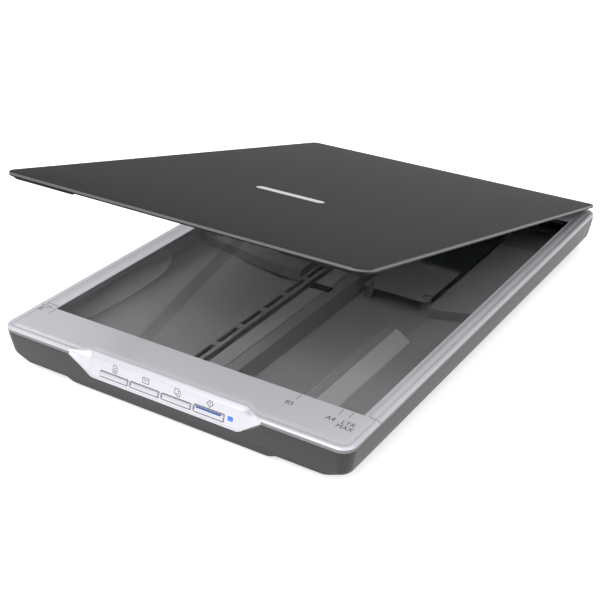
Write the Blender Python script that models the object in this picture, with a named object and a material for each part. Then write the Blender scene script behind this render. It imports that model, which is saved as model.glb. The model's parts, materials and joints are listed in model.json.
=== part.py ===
"""Flatbed document scanner with a thin, half-open lid, modelled as separate solids.

Lengths are in millimetres, and MM turns them into Blender's metres. X points to the right as seen from
the front, Y to the rear, where the lid is hinged, and Z up. The origin is on the table, under the middle
of the casing. The lid group is modelled closed and then turned open about its hinge.
"""

import math

import bmesh
import bpy
from mathutils import Vector

MM = 0.001
GAP = 0.3

# Overall size and the levels above the table.
HALF_WIDTH = 124.5
HALF_DEPTH = 182.0
BELLY_Z = 3.0
FLANK_Z = 5.7
SKIRT_Z = 9.9
RIM_Z = 25.2
SPLIT_Z = RIM_Z + GAP
DECK_Z = 29.2
WALL = 2.2
CORNER_RADIUS = 8.5
CORNER_STEPS = 6

# Glass and its opening in the deck.
GLASS_X = (-110.0, 114.0)
GLASS_Y = (-149.0, 152.0)
GLASS_BOTTOM = 25.2
GLASS_TOP = 28.0
GLASS_LAP = 3.0
LIP_Z = GLASS_TOP + GAP
FRAME_BOTTOM = 23.5
FRAME_FRONT = -160.0
CROSSBAR_TOP = 25.0

# Control panel: a steep face that drops from the front of the deck into a notch in the casing.
PANEL_TOP = (-177.5, 27.0)
PANEL_BOTTOM = (-181.5, 14.7)
PANEL_HALF_BOTTOM = 53.5
PANEL_HALF_TOP = 69.0
PANEL_THICKNESS = 1.9
PANEL_TILT = math.atan2(PANEL_TOP[1] - PANEL_BOTTOM[1], PANEL_TOP[0] - PANEL_BOTTOM[0])
BUTTON_Z = 18.5
BUTTON_PITCH = 23.0
BUTTON_FIRST_X = -36.2
BUTTON_LENGTH = 20.2
BUTTON_NAMES = ("pdf_button", "send_button", "copy_button", "start_button")

# Mechanism: belt loop under the guide rail, sensor bar above it.
RAIL_TOP = 15.0
RAIL_Y = (-166.0, 142.0)
SLIT_X = (-8.9, -4.2)
BELT_RADIUS = 6.5
BELT_THICKNESS = 1.2
BELT_Z = (8.95, 12.15)
IDLER_Y = -156.0
DRIVE_Y = 160.0
GEAR_MODULE = 0.8
GEAR_TEETH = 36
PINION_TEETH = 12
GEAR_Z = (6.6, 8.3)
GEAR_CENTRES = GEAR_MODULE * (GEAR_TEETH + PINION_TEETH) / 2 + 0.12
CARRIAGE_Y = 158.0
CARRIAGE_X = 2.0
TRAY_HALF_LENGTH = 117.0
TRAY_Z = (16.6, 22.5)
RIBBON_X = (-3.9, 7.6)
RIBBON_Z = (15.25, 15.5)
RIBBON_ANCHOR_Y = -13.0

# Lid, in its closed place, and its hinge.
LID_HALF_WIDTH = 123.0
LID_Y = (-179.8, 179.9)
LID_BOTTOM = 29.9
LID_RIM_BOTTOM = 31.5
LID_EDGE_TOP = 33.8
LID_CROWN = 0.4
LID_SKIN = 1.4
HINGE_Y = 180.0
HINGE_Z = 29.7
HINGE_X = 85.0
LID_OPEN = math.radians(14.85)

FINISHES = {
    "charcoal": ((0.075, 0.075, 0.078), 0.45, 0.0),
    "silver": ((0.62, 0.61, 0.66), 0.32, 0.35),
    "gloss_black": ((0.035, 0.035, 0.037), 0.18, 0.0),
    "glass": ((0.55, 0.6, 0.58), 0.05, 0.0),
    "white": ((0.88, 0.88, 0.87), 0.5, 0.0),
    "foam": ((0.16, 0.16, 0.17), 0.9, 0.0),
    "black_plastic": ((0.02, 0.02, 0.021), 0.4, 0.0),
    "board_green": ((0.03, 0.16, 0.07), 0.4, 0.0),
    "steel": ((0.55, 0.56, 0.58), 0.3, 1.0),
    "rubber": ((0.03, 0.03, 0.03), 0.85, 0.0),
    "ribbon": ((0.7, 0.71, 0.72), 0.45, 0.0),
    "acetal": ((0.8, 0.79, 0.74), 0.4, 0.0),
    "blue_lens": ((0.05, 0.2, 0.9), 0.2, 0.0),
}


# ---------------------------------------------------------------- helpers


def clear_scene():
    for obj in list(bpy.data.objects):
        bpy.data.objects.remove(obj, do_unlink=True)


def make_material(name, finish):
    colour, roughness, metallic = FINISHES[finish]
    material = bpy.data.materials.new(name)
    material.use_nodes = True
    shader = material.node_tree.nodes["Principled BSDF"]
    shader.inputs["Base Color"].default_value = (*colour, 1.0)
    shader.inputs["Roughness"].default_value = roughness
    shader.inputs["Metallic"].default_value = metallic
    material.diffuse_color = (*colour, 1.0)
    return material


def pivot(name, location, rotation=(0.0, 0.0, 0.0)):
    """An empty on a joint's axis, or on the plane that a group of pieces is laid out from."""
    empty = bpy.data.objects.new(name, None)
    empty.location = Vector(location) * MM
    empty.rotation_euler = rotation
    empty.empty_display_size = 0.01
    bpy.context.scene.collection.objects.link(empty)
    return empty


def finish_mesh(name, bm, origin):
    """Closes a bmesh in millimetres into a mesh in metres, measured from origin."""
    bmesh.ops.recalc_face_normals(bm, faces=bm.faces)
    bmesh.ops.translate(bm, verts=bm.verts, vec=-Vector(origin))
    bmesh.ops.scale(bm, verts=bm.verts, vec=(MM, MM, MM))
    mesh = bpy.data.meshes.new(name)
    bm.to_mesh(mesh)
    bm.free()
    mesh.shade_smooth()
    mesh.set_sharp_from_angle(angle=math.radians(35))
    return mesh


def part(name, bm, finish, parent=None, local=False):
    """One sub-part. With a parent its mesh is measured from the parent's place, or is local already."""
    origin = (0, 0, 0)
    if parent is not None and not local:
        origin = parent.location / MM
    mesh = finish_mesh(name, bm, origin)
    mesh.materials.append(make_material(name, finish))
    obj = bpy.data.objects.new(name, mesh)
    obj.parent = parent
    bpy.context.scene.collection.objects.link(obj)
    return obj


def combine(target, operation, name, bm, parent=None, local=False):
    """Adds (UNION) or cuts away (DIFFERENCE) a hidden shape."""
    origin = (0, 0, 0)
    if parent is not None and not local:
        origin = parent.location / MM
    tool = bpy.data.objects.new(name, finish_mesh(name, bm, origin))
    tool.parent = parent
    tool.hide_render = True
    tool.display_type = "WIRE"
    bpy.context.scene.collection.objects.link(tool)
    modifier = target.modifiers.new(name, "BOOLEAN")
    modifier.operation = operation
    modifier.solver = "EXACT"
    modifier.object = tool


def loft(bm, rings, loop=False):
    """Skins rings of equally many points. Open ends are capped, and a loop joins its last ring to its first."""
    layers = [[bm.verts.new(point) for point in ring] for ring in rings]
    pairs = list(zip(layers, layers[1:]))
    if loop:
        pairs.append((layers[-1], layers[0]))
    for lower, upper in pairs:
        count = len(lower)
        for i in range(count):
            j = (i + 1) % count
            bm.faces.new((lower[i], lower[j], upper[j], upper[i]))
    if not loop:
        bm.faces.new(list(reversed(layers[0])))
        bm.faces.new(layers[-1])


def arc_points(centre, radius, start, end, steps):
    cx, cy = centre
    angles = [start + (end - start) * i / steps for i in range(steps + 1)]
    return [(cx + radius * math.cos(a), cy + radius * math.sin(a)) for a in angles]


def rounded_outline(x0, x1, y0, y1, front_radius, rear_radius):
    quarter = math.pi / 2
    fr, rr = front_radius, rear_radius
    outline = arc_points((x1 - fr, y0 + fr), fr, -quarter, 0, CORNER_STEPS)
    outline += arc_points((x1 - rr, y1 - rr), rr, 0, quarter, CORNER_STEPS)
    outline += arc_points((x0 + rr, y1 - rr), rr, quarter, 2 * quarter, CORNER_STEPS)
    outline += arc_points((x0 + fr, y0 + fr), fr, 2 * quarter, 3 * quarter, CORNER_STEPS)
    return outline


def level(outline, z):
    return [(x, y, z) for x, y in outline]


def centred_ring(half_x, half_y, radius, z):
    return level(rounded_outline(-half_x, half_x, -half_y, half_y, radius, radius), z)


def prism(bm, outline, z0, z1):
    loft(bm, [level(outline, z0), level(outline, z1)])


def box(bm, x, y, z):
    prism(bm, [(x[0], y[0]), (x[1], y[0]), (x[1], y[1]), (x[0], y[1])], *z)


def extrude_x(bm, section, x0, x1):
    """Extrudes a (y, z) section along X."""
    loft(bm, [[(x, y, z) for y, z in section] for x in (x0, x1)])


def extrude_y(bm, section, y0, y1):
    """Extrudes an (x, z) section along Y."""
    loft(bm, [[(x, y, z) for x, z in section] for y in (y0, y1)])


def turned(bm, centre, profile, steps=16, loop=False):
    """Turns (radius, z) points about a vertical axis. A loop closes the profile round a bore."""
    rings = [level(arc_points(centre, r, 0, math.tau * (1 - 1 / steps), steps - 1), z) for r, z in profile]
    loft(bm, rings, loop)


def cylinder_x(bm, y, z, radius, x0, x1, steps=16):
    outline = arc_points((y, z), radius, 0, math.tau * (1 - 1 / steps), steps - 1)
    extrude_x(bm, outline, x0, x1)


def helix(bm, start, end, radius, wire, turns, steps_per_turn=10, sides=5):
    """A coil spring's wire wound about the line from start to end."""
    start, end = Vector(start), Vector(end)
    axis = (end - start).normalized()
    side = axis.orthogonal().normalized()
    other = axis.cross(side)
    count = turns * steps_per_turn
    rings = []
    for i in range(count + 1):
        angle = math.tau * i / steps_per_turn
        outward = side * math.cos(angle) + other * math.sin(angle)
        centre = start + (end - start) * (i / count) + outward * radius
        around = [math.tau * k / sides for k in range(sides)]
        rings.append([centre + outward * wire * math.cos(a) + axis * wire * math.sin(a) for a in around])
    loft(bm, rings)


def gear_outline(centre, teeth, phase):
    """Straight-flanked teeth with backlash, on the pitch circle of the module."""
    pitch = GEAR_MODULE * teeth / 2
    tip, root = pitch + 0.7 * GEAR_MODULE, pitch - 1.0 * GEAR_MODULE
    half_tooth = math.pi / (2 * teeth)
    corners = ((root, -1.2), (tip, -0.4), (tip, 0.4), (root, 1.2))
    outline = []
    for i in range(teeth):
        middle = phase + math.tau * i / teeth
        for radius, share in corners:
            angle = middle + share * half_tooth
            outline.append((centre[0] + radius * math.cos(angle), centre[1] + radius * math.sin(angle)))
    return outline


def bored_prism(bm, outline, centre, bore, z0, z1):
    """A prism with a round bore whose wall has as many points as the outline."""
    count = len(outline)
    angles = [math.atan2(y - centre[1], x - centre[0]) for x, y in outline]
    hole = [(centre[0] + bore * math.cos(a), centre[1] + bore * math.sin(a)) for a in angles[:count]]
    loft(bm, [level(outline, z0), level(outline, z1), level(hole, z1), level(hole, z0)], loop=True)


# ---------------------------------------------------------------- casing


def s_curve(sign, inner_x):
    """The curved front edge of a raised floor, from its inner end out to the side wall."""
    steps = 8
    outer_x, front_y, back_y = 121.6, 1.5, 13.0
    points = []
    for i in range(steps + 1):
        share = i / steps
        ease = share * share * (3 - 2 * share)
        points.append((sign * (inner_x + (outer_x - inner_x) * share), front_y + (back_y - front_y) * ease))
    return points


def raised_floor(bm, sign, inner_x):
    """A plateau over an underside recess. Its outer side follows the slope of the casing wall."""
    rear_y = 118.0
    levels = ((6.6, 112.5), (9.9, 119.5), (14.5, 121.6))
    rings = []
    for z, outer_x in levels:
        edge = s_curve(sign, inner_x)
        ring = [(x if abs(x) < outer_x else sign * outer_x, y, z) for x, y in edge]
        ring += [(sign * outer_x, rear_y, z), (sign * inner_x, rear_y, z)]
        rings.append(ring)
    loft(bm, rings)


def grip_scoop(bm, sign):
    """A bowed ramp against the side wall, the inside of a finger scoop."""
    steps = 10
    y0, y1 = -142.0, -16.0
    rings = []
    for i in range(steps + 1):
        share = i / steps
        bow = math.sin(math.pi * share)
        y = y0 + (y1 - y0) * share
        toe = (sign * (113.2 - 5.5 * bow), 7.0)
        head = (sign * 121.8, 11.6 + 5.4 * bow)
        rings.append([(x, y, z) for x, z in (toe, head, (sign * 121.0, 10.5), (sign * 113.9, 7.0))])
    loft(bm, rings)


CASING_BOSSES = ((-105.0, -156.2), (105.0, -156.2), (-108.0, 171.0), (108.0, 171.0))
SHIELD_POSTS = ((26.5, 12.5), (68.5, 15.5))
BOARD_POSTS = ((30.0, 32.0), (65.0, 32.0), (30.0, 166.0), (65.0, 166.0))
USB_X = (43.0, 51.0)
USB_Z = (10.1, 13.1)


def build_bottom_casing():
    bm = bmesh.new()
    outer = (
        (72.5, 178.3, 3.0, BELLY_Z),
        (80.0, 178.8, 4.0, FLANK_Z),
        (112.0, 179.0, 5.0, FLANK_Z),
        (121.8, 179.6, 7.0, SKIRT_Z),
        (123.6, 181.2, 8.0, 18.0),
        (HALF_WIDTH, HALF_DEPTH, CORNER_RADIUS, RIM_Z),
    )
    inner = (
        (HALF_WIDTH - WALL, HALF_DEPTH - WALL, CORNER_RADIUS - WALL, RIM_Z),
        (121.4, 179.0, 6.0, 18.0),
        (119.6, 177.4, 5.0, SKIRT_Z + 0.9),
        (110.8, 176.8, 4.0, FLANK_Z + WALL),
        (79.0, 176.6, 3.0, FLANK_Z + WALL),
        (71.2, 176.4, 2.5, BELLY_Z + WALL),
    )
    loft(bm, [centred_ring(*row) for row in outer + inner])
    casing = part("bottom_casing", bm, "charcoal")

    bm = bmesh.new()
    raised_floor(bm, -1, 24.0)
    raised_floor(bm, 1, 76.5)
    grip_scoop(bm, -1)
    grip_scoop(bm, 1)
    extrude_y(bm, [(58, 4.4), (83, 6.6), (82, 8.6), (72, 15.5), (66, 15.5), (58, 6)], -132.0, -34.0)
    for centre in CASING_BOSSES:
        turned(bm, centre, ((4.2, FLANK_Z + 1.1), (4.0, FRAME_BOTTOM - GAP)))
    for centre in SHIELD_POSTS:
        turned(bm, centre, ((3.6, BELLY_Z + 1.1), (3.3, 12.7)))
    for centre in BOARD_POSTS:
        turned(bm, centre, ((2.8, BELLY_Z + 1.1), (2.5, 7.9)), steps=12)
    combine(casing, "UNION", "casing_ribs", bm)

    bm = bmesh.new()
    shoulder = 0.45
    low, high = PANEL_BOTTOM[1] - 0.7, RIM_Z + 1.0
    slope = (PANEL_HALF_TOP - PANEL_HALF_BOTTOM) / (SPLIT_Z - PANEL_BOTTOM[1])
    half_low = PANEL_HALF_BOTTOM + shoulder
    half_high = half_low + slope * (high - low)
    notch = [(-half_low, low), (half_low, low), (half_high, high), (-half_high, high)]
    extrude_y(bm, notch, -HALF_DEPTH - 3, -176.0)
    box(bm, (-113.0, -27.0), (17.0, 115.0), (0.0, 12.3))
    box(bm, (80.0, 113.0), (17.0, 115.0), (0.0, 12.3))
    for centre in CASING_BOSSES:
        turned(bm, centre, ((3.1, 4.0), (3.1, 9.0), (1.7, 9.0), (1.7, FRAME_BOTTOM)))
    for centre in SHIELD_POSTS:
        turned(bm, centre, ((1.5, 7.5), (1.5, 13.5)), steps=12)
    box(bm, (USB_X[0] - 0.5, USB_X[1] + 0.5), (173.0, HALF_DEPTH + 2), (USB_Z[0] - 0.6, USB_Z[1] + 0.4))
    combine(casing, "DIFFERENCE", "casing_cuts", bm)


def build_top_frame():
    bm = bmesh.new()
    x0, x1 = GLASS_X
    y0, y1 = GLASS_Y
    edge = 1.2
    skirt = WALL + 0.4
    front, small = FRAME_FRONT, 0.6

    def outside(inset, z):
        outline = rounded_outline(
            -HALF_WIDTH + inset, HALF_WIDTH - inset, front, HALF_DEPTH - inset, small, CORNER_RADIUS - inset
        )
        return level(outline, z)

    def opening(lap, rear_lap, z):
        return level(rounded_outline(x0 - lap, x1 + lap, y0 - lap, y1 + rear_lap, small, small), z)

    lap, rear_lap = GLASS_LAP + 0.4, 14.4
    rings = [
        outside(0, SPLIT_Z),
        outside(0, DECK_Z - edge),
        outside(edge, DECK_Z),
        opening(0, 0, DECK_Z),
        opening(0, 0, LIP_Z),
        opening(lap, rear_lap, LIP_Z),
        opening(lap, rear_lap, FRAME_BOTTOM),
        outside(skirt, FRAME_BOTTOM),
        outside(skirt, SPLIT_Z),
    ]
    loft(bm, rings, loop=True)
    frame = part("top_frame", bm, "silver")

    bm = bmesh.new()
    box(bm, (-130, 130), (-170, y0 + GAP), (CROSSBAR_TOP, 32))
    for sign in (-1, 1):
        centre = sign * HINGE_X
        box(bm, (centre - 7.6, centre + 7.6), (177.0, HINGE_Y + 5), (26.9, 32.0))
    combine(frame, "DIFFERENCE", "frame_notches", bm)

    bm = bmesh.new()
    for x, y in CASING_BOSSES:
        top = 26.0 if y < 0 else 27.2
        turned(bm, (x, y), ((1.6, 22.0), (1.6, top)), steps=12)
    for sign in (-1, 1):
        centre = sign * HINGE_X
        box(bm, (centre - 3.4, centre + 3.4), (172.8, 177.4), (22.0, 32.0))
    combine(frame, "DIFFERENCE", "frame_holes", bm)


def build_front_bezel():
    """Silver front cover. Its section changes from a plain edge to the deep control panel and back."""
    rear = GLASS_Y[0]
    under = DECK_Z - 1.8
    edge_section = [
        (rear, DECK_Z), (-178.8, DECK_Z), (-181.3, 28.2), (-HALF_DEPTH, SPLIT_Z),
        (-179.9, SPLIT_Z), (-179.6, 26.9), (-178.5, under), (rear, under),
    ]
    inward = (PANEL_THICKNESS * math.sin(PANEL_TILT), -PANEL_THICKNESS * math.cos(PANEL_TILT))
    panel_section = [
        (rear, DECK_Z), (-174.7, DECK_Z), PANEL_TOP, PANEL_BOTTOM,
        (PANEL_BOTTOM[0] + inward[0], PANEL_BOTTOM[1] + inward[1] + 0.2),
        (PANEL_TOP[0] + inward[0], PANEL_TOP[1] + inward[1]), (-173.9, under), (rear, under),
    ]
    stations = [
        (-HALF_WIDTH - 1, edge_section), (-PANEL_HALF_TOP, edge_section),
        (-PANEL_HALF_BOTTOM, panel_section), (PANEL_HALF_BOTTOM, panel_section),
        (PANEL_HALF_TOP, edge_section), (HALF_WIDTH + 1, edge_section),
    ]
    bm = bmesh.new()
    loft(bm, [[(x, y, z) for y, z in section] for x, section in stations])
    bezel = part("front_bezel", bm, "silver")

    bm = bmesh.new()
    rings = [
        centred_ring(HALF_WIDTH, HALF_DEPTH, CORNER_RADIUS, 10.0),
        centred_ring(HALF_WIDTH, HALF_DEPTH, CORNER_RADIUS, DECK_Z - 1.0),
        centred_ring(HALF_WIDTH - 1.0, HALF_DEPTH - 1.0, CORNER_RADIUS - 1.0, DECK_Z + 0.01),
    ]
    loft(bm, rings)
    combine(bezel, "INTERSECT", "bezel_outline", bm)

    bm = bmesh.new()
    wall = WALL - 0.1
    rim = [
        (HALF_WIDTH, HALF_DEPTH, CORNER_RADIUS, SPLIT_Z),
        (HALF_WIDTH, HALF_DEPTH, CORNER_RADIUS, under + 0.5),
        (HALF_WIDTH - wall, HALF_DEPTH - wall, CORNER_RADIUS - wall, under + 0.5),
        (HALF_WIDTH - wall, HALF_DEPTH - wall, CORNER_RADIUS - wall, SPLIT_Z),
    ]
    loft(bm, [centred_ring(*row) for row in rim], loop=True)
    skirt = part("bezel_rim", bm, "silver")
    skirt.hide_render = True
    skirt.display_type = "WIRE"
    bm = bmesh.new()
    box(bm, (-130, 130), (rear, 190), (20, 32))
    box(bm, (-PANEL_HALF_TOP, PANEL_HALF_TOP), (-190, rear - 1), (20, 32))
    combine(skirt, "DIFFERENCE", "rim_ends", bm)
    union = bezel.modifiers.new("rim", "BOOLEAN")
    union.operation = "UNION"
    union.solver = "EXACT"
    union.object = skirt

    bm = bmesh.new()
    lap = GLASS_LAP + 0.7
    box(bm, (GLASS_X[0] - lap, GLASS_X[1] + lap), (rear - lap, rear + 1), (20, LIP_Z))
    combine(bezel, "DIFFERENCE", "glass_step", bm)

    plane = panel_pivot("panel_plane", 0.0)
    bm = bmesh.new()
    for index in range(len(BUTTON_NAMES)):
        x = BUTTON_FIRST_X + index * BUTTON_PITCH
        low, high = button_span(index)
        clear = 0.35
        half = BUTTON_LENGTH / 2 + clear
        box(bm, (x - half, x + half), (low - clear, high + clear), (-3.5, 3.0))
    box(bm, (LED_X[0] - 0.3, LED_X[1] + 0.3), (LED_V[0] - 0.3, LED_V[1] + 0.3), (-3.5, 3.0))
    combine(bezel, "DIFFERENCE", "button_slots", bm, plane, local=True)
    return plane


def build_glass():
    bm = bmesh.new()
    lap = GLASS_LAP
    outline = rounded_outline(GLASS_X[0] - lap, GLASS_X[1] + lap, GLASS_Y[0] - lap, GLASS_Y[1] + 14.0, 0.5, 0.5)
    prism(bm, outline, GLASS_BOTTOM, GLASS_TOP)
    part("document_glass", bm, "glass")
    bm = bmesh.new()
    box(bm, (-105.0, 109.0), (153.5, 163.5), (24.45, 24.9))
    part("calibration_strip", bm, "white")


def build_feet_and_screws():
    for name, x, y in (
        ("foot_front_left", -98.0, -150.0),
        ("foot_front_right", 98.0, -150.0),
        ("foot_rear_left", -98.0, 152.0),
        ("foot_rear_right", 98.0, 152.0),
    ):
        bm = bmesh.new()
        turned(bm, (x, y), ((4.6, 0.0), (5.4, 0.7), (5.4, FLANK_Z - GAP)), steps=20)
        part(name, bm, "rubber")
    names = ("front_left", "front_right", "rear_left", "rear_right")
    for name, (x, y) in zip(names, CASING_BOSSES):
        tip = 24.6 if y < 0 else 26.8
        bm = bmesh.new()
        turned(bm, (x, y), ((2.3, 6.2), (2.7, 6.6), (2.7, 8.6), (1.3, 8.6), (1.3, tip)))
        part("casing_screw_" + name, bm, "steel")


# ---------------------------------------------------------------- electronics


def build_boards():
    bm = bmesh.new()
    board_z = (8.2, 9.8)
    box(bm, (24.5, 70.5), (22.0, 173.0), board_z)
    part("main_board", bm, "board_green")

    bm = bmesh.new()
    box(bm, (USB_X[0], USB_X[1]), (166.0, 181.6), USB_Z)
    socket = part("usb_socket", bm, "steel")
    bm = bmesh.new()
    middle = (USB_X[0] + USB_X[1]) / 2
    box(bm, (middle - 3.5, middle + 3.5), (175.0, 183.0), (USB_Z[0] + 0.6, USB_Z[1] - 0.6))
    combine(socket, "DIFFERENCE", "socket_mouth", bm)

    bm = bmesh.new()
    plate = (13.0, 13.8)
    side = [(9.0, plate[0]), (60.5, plate[0]), (60.5, 15.3), (59.7, 15.3), (59.7, plate[1]), (9.0, plate[1])]
    extrude_x(bm, side, 23.5, 71.5)
    shield = part("board_shield", bm, "charcoal")
    bm = bmesh.new()
    for centre in SHIELD_POSTS:
        turned(bm, centre, ((1.6, 12.0), (1.6, 14.5)), steps=12)
    combine(shield, "DIFFERENCE", "shield_holes", bm)
    for name, centre in zip(("left", "right"), SHIELD_POSTS):
        bm = bmesh.new()
        turned(bm, centre, ((1.2, 9.0), (1.2, 14.1), (2.7, 14.1), (2.7, 14.8), (2.2, 15.2)), steps=14)
        part("shield_screw_" + name, bm, "steel")


def strip_section(points, thickness):
    """A flat strip's closed section, from its lower line of (y, z) points."""
    return points + [(y, z + thickness) for y, z in reversed(points)]


def build_ribbons():
    thickness = RIBBON_Z[1] - RIBBON_Z[0]
    low = RIBBON_Z[0]
    bm = bmesh.new()
    lower = [(-172.4, 12.6), (-170.8, 12.9), (-168.6, 14.3), (-166.4, low), (RIBBON_ANCHOR_Y - 4.0, low)]
    extrude_x(bm, strip_section(lower, thickness), *RIBBON_X)
    part("front_panel_ribbon", bm, "ribbon")

    bm = bmesh.new()
    lower = [(RIBBON_ANCHOR_Y - 2.0, low), (CARRIAGE_Y - 4.0, low)]
    extrude_x(bm, strip_section(lower, thickness), *RIBBON_X)
    part("carriage_ribbon", bm, "ribbon")

    bm = bmesh.new()
    over, top = RIBBON_Z[1] + 0.25, 16.25
    foot = RIBBON_X[1] + 0.6
    section = [(foot, RAIL_TOP + GAP), (foot + 2.2, RAIL_TOP + GAP), (foot + 2.2, top), (RIBBON_X[0], top),
               (RIBBON_X[0], over), (foot, over)]
    extrude_y(bm, section, RIBBON_ANCHOR_Y - 3.0, RIBBON_ANCHOR_Y + 3.0)
    part("ribbon_clamp", bm, "black_plastic")


# ---------------------------------------------------------------- control panel

LED_X = (45.7, 48.9)
LED_V = (0.3, 2.6)
FLANGE_W = (-3.1, -2.2)
SWITCH_W = (-6.9, -5.1)


def button_span(index):
    """A button's lower and upper edge, up the panel. The last one is taller, for its coloured stripe."""
    return (-1.5, 2.3) if index == len(BUTTON_NAMES) - 1 else (-1.5, 1.5)


def panel_pivot(name, x):
    """A place on the panel's face: local X along it, Y up it and Z out of it."""
    share = (BUTTON_Z - PANEL_BOTTOM[1]) / (PANEL_TOP[1] - PANEL_BOTTOM[1])
    y = PANEL_BOTTOM[0] + share * (PANEL_TOP[0] - PANEL_BOTTOM[0])
    return pivot(name, (x, y, BUTTON_Z), (PANEL_TILT, 0.0, 0.0))


def build_controls(plane):
    for index, name in enumerate(BUTTON_NAMES):
        x = BUTTON_FIRST_X + index * BUTTON_PITCH
        axis = panel_pivot(name + "_axis", x)
        low, high = button_span(index)
        half = BUTTON_LENGTH / 2
        bm = bmesh.new()
        cap_low, cap_high = FLANGE_W[1] - 0.1, 0.0
        corner = 0.5

        def cap(inset, w):
            sides = (-half + inset, half - inset, low + inset, high - inset)
            return level(rounded_outline(*sides, corner, corner), w)

        loft(bm, [cap(0, cap_low), cap(0, cap_high), cap(0.25, cap_high + 0.5)])
        button = part(name, bm, "silver", axis, local=True)
        bm = bmesh.new()
        box(bm, (-half - 0.9, half + 0.9), (low - 0.8, high + 0.8), FLANGE_W)
        combine(button, "UNION", name + "_flange", bm, axis, local=True)
        bm = bmesh.new()
        box(bm, (-1.2, 1.2), (-1.2, 1.2), (-4.2, FLANGE_W[1] - 0.3))
        combine(button, "UNION", name + "_stem", bm, axis, local=True)

        bm = bmesh.new()
        box(bm, (x - 1.8, x + 1.8), (-1.8, 1.8), SWITCH_W)
        part("tact_switch_" + str(index + 1), bm, "black_plastic", plane, local=True)

    bm = bmesh.new()
    box(bm, (-52.0, 54.0), (-5.0, 5.0), (SWITCH_W[0] - 1.3, SWITCH_W[0] - GAP))
    part("button_board", bm, "board_green", plane, local=True)
    bm = bmesh.new()
    box(bm, LED_X, LED_V, (SWITCH_W[0], 0.3))
    part("led_lens", bm, "blue_lens", plane, local=True)


# ---------------------------------------------------------------- drive


def build_guide_rail():
    bm = bmesh.new()
    top, base, sheet = RAIL_TOP, BELLY_Z + WALL + GAP, 1.5
    section = [
        (-20.0, base), (-17.0, top), (17.0, top), (20.0, base),
        (18.4, base), (15.6, top - sheet), (-15.6, top - sheet), (-18.4, base),
    ]
    extrude_y(bm, list(reversed(section)), *RAIL_Y)
    rail = part("guide_rail", bm, "charcoal")
    bm = bmesh.new()
    box(bm, SLIT_X, (RAIL_Y[0] + 5, RAIL_Y[1] + 5), (top - 3, top + 2))
    slot_length, slot_pitch, slots = 21.0, 26.0, 11
    for index in range(slots):
        y = RAIL_Y[0] + 6 + index * slot_pitch
        box(bm, (-15.4, -11.8), (y, y + slot_length), (top - 3, top + 2))
    combine(rail, "DIFFERENCE", "rail_slots", bm)


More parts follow.
